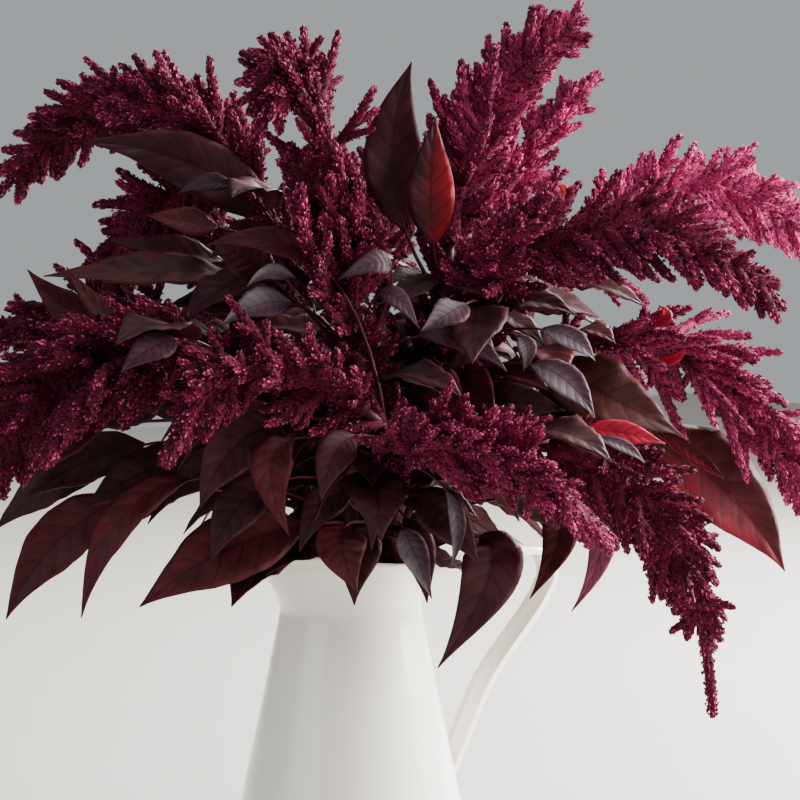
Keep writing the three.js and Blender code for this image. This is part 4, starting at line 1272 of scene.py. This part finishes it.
def pitcherProfile():
    p = pitcher
    base, foot, rim, bead = p["baseRadius"], p["footRounding"], p["rimHeight"], p["beadRadius"]
    outer = [(0, 0), (base * 0.5, 0), (base - foot - 2, 0)]
    for k in range(7):
        angle = math.radians(-90 + 15 * k)
        outer.append((base - foot + foot * math.cos(angle), foot + foot * math.sin(angle)))
    outer += [(outerRadius(z), z) for z in np.linspace(16, 196, 16)]
    outer += [(outerRadius(z), z) for z in np.linspace(200, rim - 4.2, 16)]
    lip = outerRadius(rim - 2) + 0.1
    for k in range(9):
        angle = math.radians(-70 + 27.5 * k)
        outer.append((lip + bead * math.cos(angle), rim - bead + bead * math.sin(angle)))
    inner = [(outerRadius(z) - p["wall"], z) for z in np.linspace(rim - 3.6, 200, 14)]
    inner += [(outerRadius(z) - p["wall"], z) for z in np.linspace(190, 12, 10)]
    inner += [(base - p["wall"] - 1, foot), (base - foot, p["wall"] + 0.4), (base * 0.5, p["wall"]),
              (0, p["wall"])]
    return outer + inner


def shapeMouth(co):
    p = pitcher
    above = (co.z - p["neckHeight"]) / (p["rimHeight"] - p["neckHeight"])
    around = math.hypot(co.x, co.y)
    if above <= 0 or around < 1e-6:
        return
    facing = -co.x / around
    lip = max(0.0, facing) ** 5
    out = (p["mouthFlare"] * (0.5 + 0.5 * facing) + p["spoutReach"] * lip) * above**1.1
    co.x, co.y = co.x * (around + out) / around, co.y * (around + out) / around
    co.z += p["spoutRise"] * (0.5 + 0.5 * facing) ** 2 * above


def pitcherPiece():
    bm = bmesh.new()
    verts = [bm.verts.new((x, 0, z)) for x, z in pitcherProfile()]
    edges = [bm.edges.new(pair) for pair in zip(verts, verts[1:])]
    bmesh.ops.spin(bm, geom=verts + edges, cent=(0, 0, 0), axis=(0, 0, 1), angle=2 * math.pi,
                   steps=pitcher["steps"], use_merge=True)
    bmesh.ops.remove_doubles(bm, verts=bm.verts, dist=1e-3)
    bmesh.ops.recalc_face_normals(bm, faces=bm.faces)
    for vert in bm.verts:
        shapeMouth(vert.co)
    toMetres(bm)
    smoothFaces(bm)
    return finishPiece("pitcher_enamel", bm, [enamel], ["pitcher_body"])


# Pitcher handle: a strap of sheet with its edges rolled inwards
handle = {"width": 20, "sheet": 1.3, "depth": 5.2, "rolling": 2.2, "crown": 0.4, "seat": 80, "clear": 0.35,
          "across": 26, "along": 84, "crispFrom": 40}


def handleLine():  # centripetal Catmull-Rom through the CAD model's points, in the plane of y = 0
    p = pitcher
    slope = (p["baseRadius"] - p["neckRadius"]) / (p["neckHeight"] - p["footRounding"])
    outAt = lambda z: p["baseRadius"] - slope * (z - p["footRounding"])
    neck, seat = p["neckRadius"], handle["seat"]
    points = np.array([(neck - 6, 226), (neck + 18, 233), (neck + 84, 240), (neck + 114, 236),
                       (neck + 123, 219), (neck + 113, 199), (neck + 67, 148),
                       (outAt(seat) + 10, seat + 14), (outAt(seat) - 9, seat - 18)])
    points = np.vstack([2 * points[0] - points[1], points, 2 * points[-1] - points[-2]])
    line = []
    for k in range(1, len(points) - 2):
        p0, p1, p2, p3 = points[k - 1:k + 3]
        d0, d1, d2 = (np.linalg.norm(b - a) ** 0.5 for a, b in ((p0, p1), (p1, p2), (p2, p3)))
        m1 = ((p1 - p0) / d0 - (p2 - p0) / (d0 + d1) + (p2 - p1) / d1) * d1
        m2 = ((p2 - p1) / d1 - (p3 - p1) / (d1 + d2) + (p3 - p2) / d2) * d1
        for t in np.linspace(0, 1, 24, endpoint=k == len(points) - 3):
            line.append((2 * t**3 - 3 * t**2 + 1) * p1 + (t**3 - 2 * t**2 + t) * m1
                        + (3 * t**2 - 2 * t**3) * p2 + (t**3 - t**2) * m2)
    return np.array(line)


def handlePiece():
    h = handle
    line = handleLine()
    reached = reachedAlong(line)

    def lineAt(length):
        return np.array([np.interp(min(max(length, 0), reached[-1]), reached, line[:, k]) for k in range(2)])

    bm = bmesh.new()
    bmesh.ops.create_grid(bm, x_segments=h["across"], y_segments=h["along"], size=0.5)
    half, roll = h["width"] / 2, h["rolling"]
    flat, turned, drop = half - roll, roll * math.pi / 2, h["depth"] - roll
    for vert in bm.verts:
        u, share = 2 * vert.co.x, vert.co.y + 0.5
        reach = abs(u) * (flat + turned + drop)
        if reach < flat:
            side, sink = reach, h["crown"] * (reach / flat) ** 2
        elif reach < flat + turned:
            angle = (reach - flat) / roll
            side, sink = flat + roll * math.sin(angle), h["crown"] + roll * (1 - math.cos(angle))
        else:
            side, sink = half, h["crown"] + roll + reach - flat - turned
        length = share * reached[-1]
        x, z = lineAt(length)
        way = unitOf(lineAt(length + 1) - lineAt(length - 1))
        vert.co = (x + way[1] * sink, math.copysign(side, u), z - way[0] * sink)
    bm.normal_update()
    bmesh.ops.solidify(bm, geom=bm.faces[:], thickness=-h["sheet"])
    bmesh.ops.recalc_face_normals(bm, faces=bm.faces)
    for vert in bm.verts:  # the ends lie on the pitcher's wall
        around = math.hypot(vert.co.x, vert.co.y)
        wall = outerRadius(min(vert.co.z, 240)) + h["clear"]
        if around < wall and vert.co.x > 0:
            vert.co.x *= wall / around
            vert.co.y *= wall / around
    toMetres(bm)
    smoothFaces(bm)
    for edge in bm.edges:  # the strap's cut edges stay crisp
        edge.smooth = edge.calc_face_angle(0) < math.radians(h["crispFrom"])
    return finishPiece("handle_strap", bm, [enamel], ["pitcher_handle"])


pitcherPiece()
handlePiece()
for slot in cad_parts["water"].material_slots:
    slot.material = waterClear
print("pitcher, handle and water")

# Studio: a plain pale floor and soft light, stronger from the right
studio = {"floorSize": 6.0, "floorDrop": 0.0005, "floor": (0.46, 0.44, 0.41), "floorRoughness": 0.75,
          "floorPatches": 3.0, "paler": 1.04, "sky": (0.82, 0.86, 0.9), "skyStrength": 0.47,
          "lightsAim": (0, 0, 0.35)}
# name, place, watts, size, color
lights = (
    ("window", (1.7, 0.35, 0.9), 210, 1.1, (1.0, 0.98, 0.95)),
    ("key", (1.6, -1.2, 1.4), 34, 0.8, (1.0, 0.97, 0.93)),
    ("rightBack", (1.2, 1.5, 1.3), 170, 0.9, (1.0, 0.96, 0.92)),
    ("leftFill", (-2.2, -1.6, 1.0), 20, 1.8, (0.92, 0.96, 1.0)),
    ("top", (0.0, 0.0, 2.4), 10, 1.0, (1.0, 1.0, 1.0)),
)


def floorPiece():
    bm = bmesh.new()
    bmesh.ops.create_grid(bm, x_segments=8, y_segments=8, size=studio["floorSize"] / 2)
    bmesh.ops.translate(bm, verts=bm.verts, vec=(0, 0, -studio["floorDrop"]))
    mesh = bpy.data.meshes.new("floor")
    bm.to_mesh(mesh)
    bm.free()
    material, tree, shader = newMaterial("floor", Roughness=studio["floorRoughness"])
    patches = noiseOf(tree, objectPlace(tree), studio["floorPatches"], 3.0)
    pale = studio["floor"]
    paler = tuple(studio["paler"] * channel for channel in pale)
    tree.links.new(ramp(tree, patches, (0.3, pale), (0.7, paler)), shader.inputs["Base Color"])
    mesh.materials.append(material)
    linkedObject("floor", mesh)


floorPiece()
for name, at, power, size, color in lights:
    lamp = bpy.data.lights.new(name, "AREA")
    lamp.energy, lamp.size, lamp.color = power, size, color
    holder = linkedObject(name, lamp)
    place = Vector(partTurn @ np.array(at))
    holder.location = place
    holder.rotation_euler = (Vector(studio["lightsAim"]) - place).to_track_quat("-Z", "Y").to_euler()
world = bpy.data.worlds.new("studio")
world.use_nodes = True
world.node_tree.nodes["Background"].inputs["Color"].default_value = (*studio["sky"], 1)
world.node_tree.nodes["Background"].inputs["Strength"].default_value = studio["skyStrength"]
bpy.context.scene.world = world
print("studio")
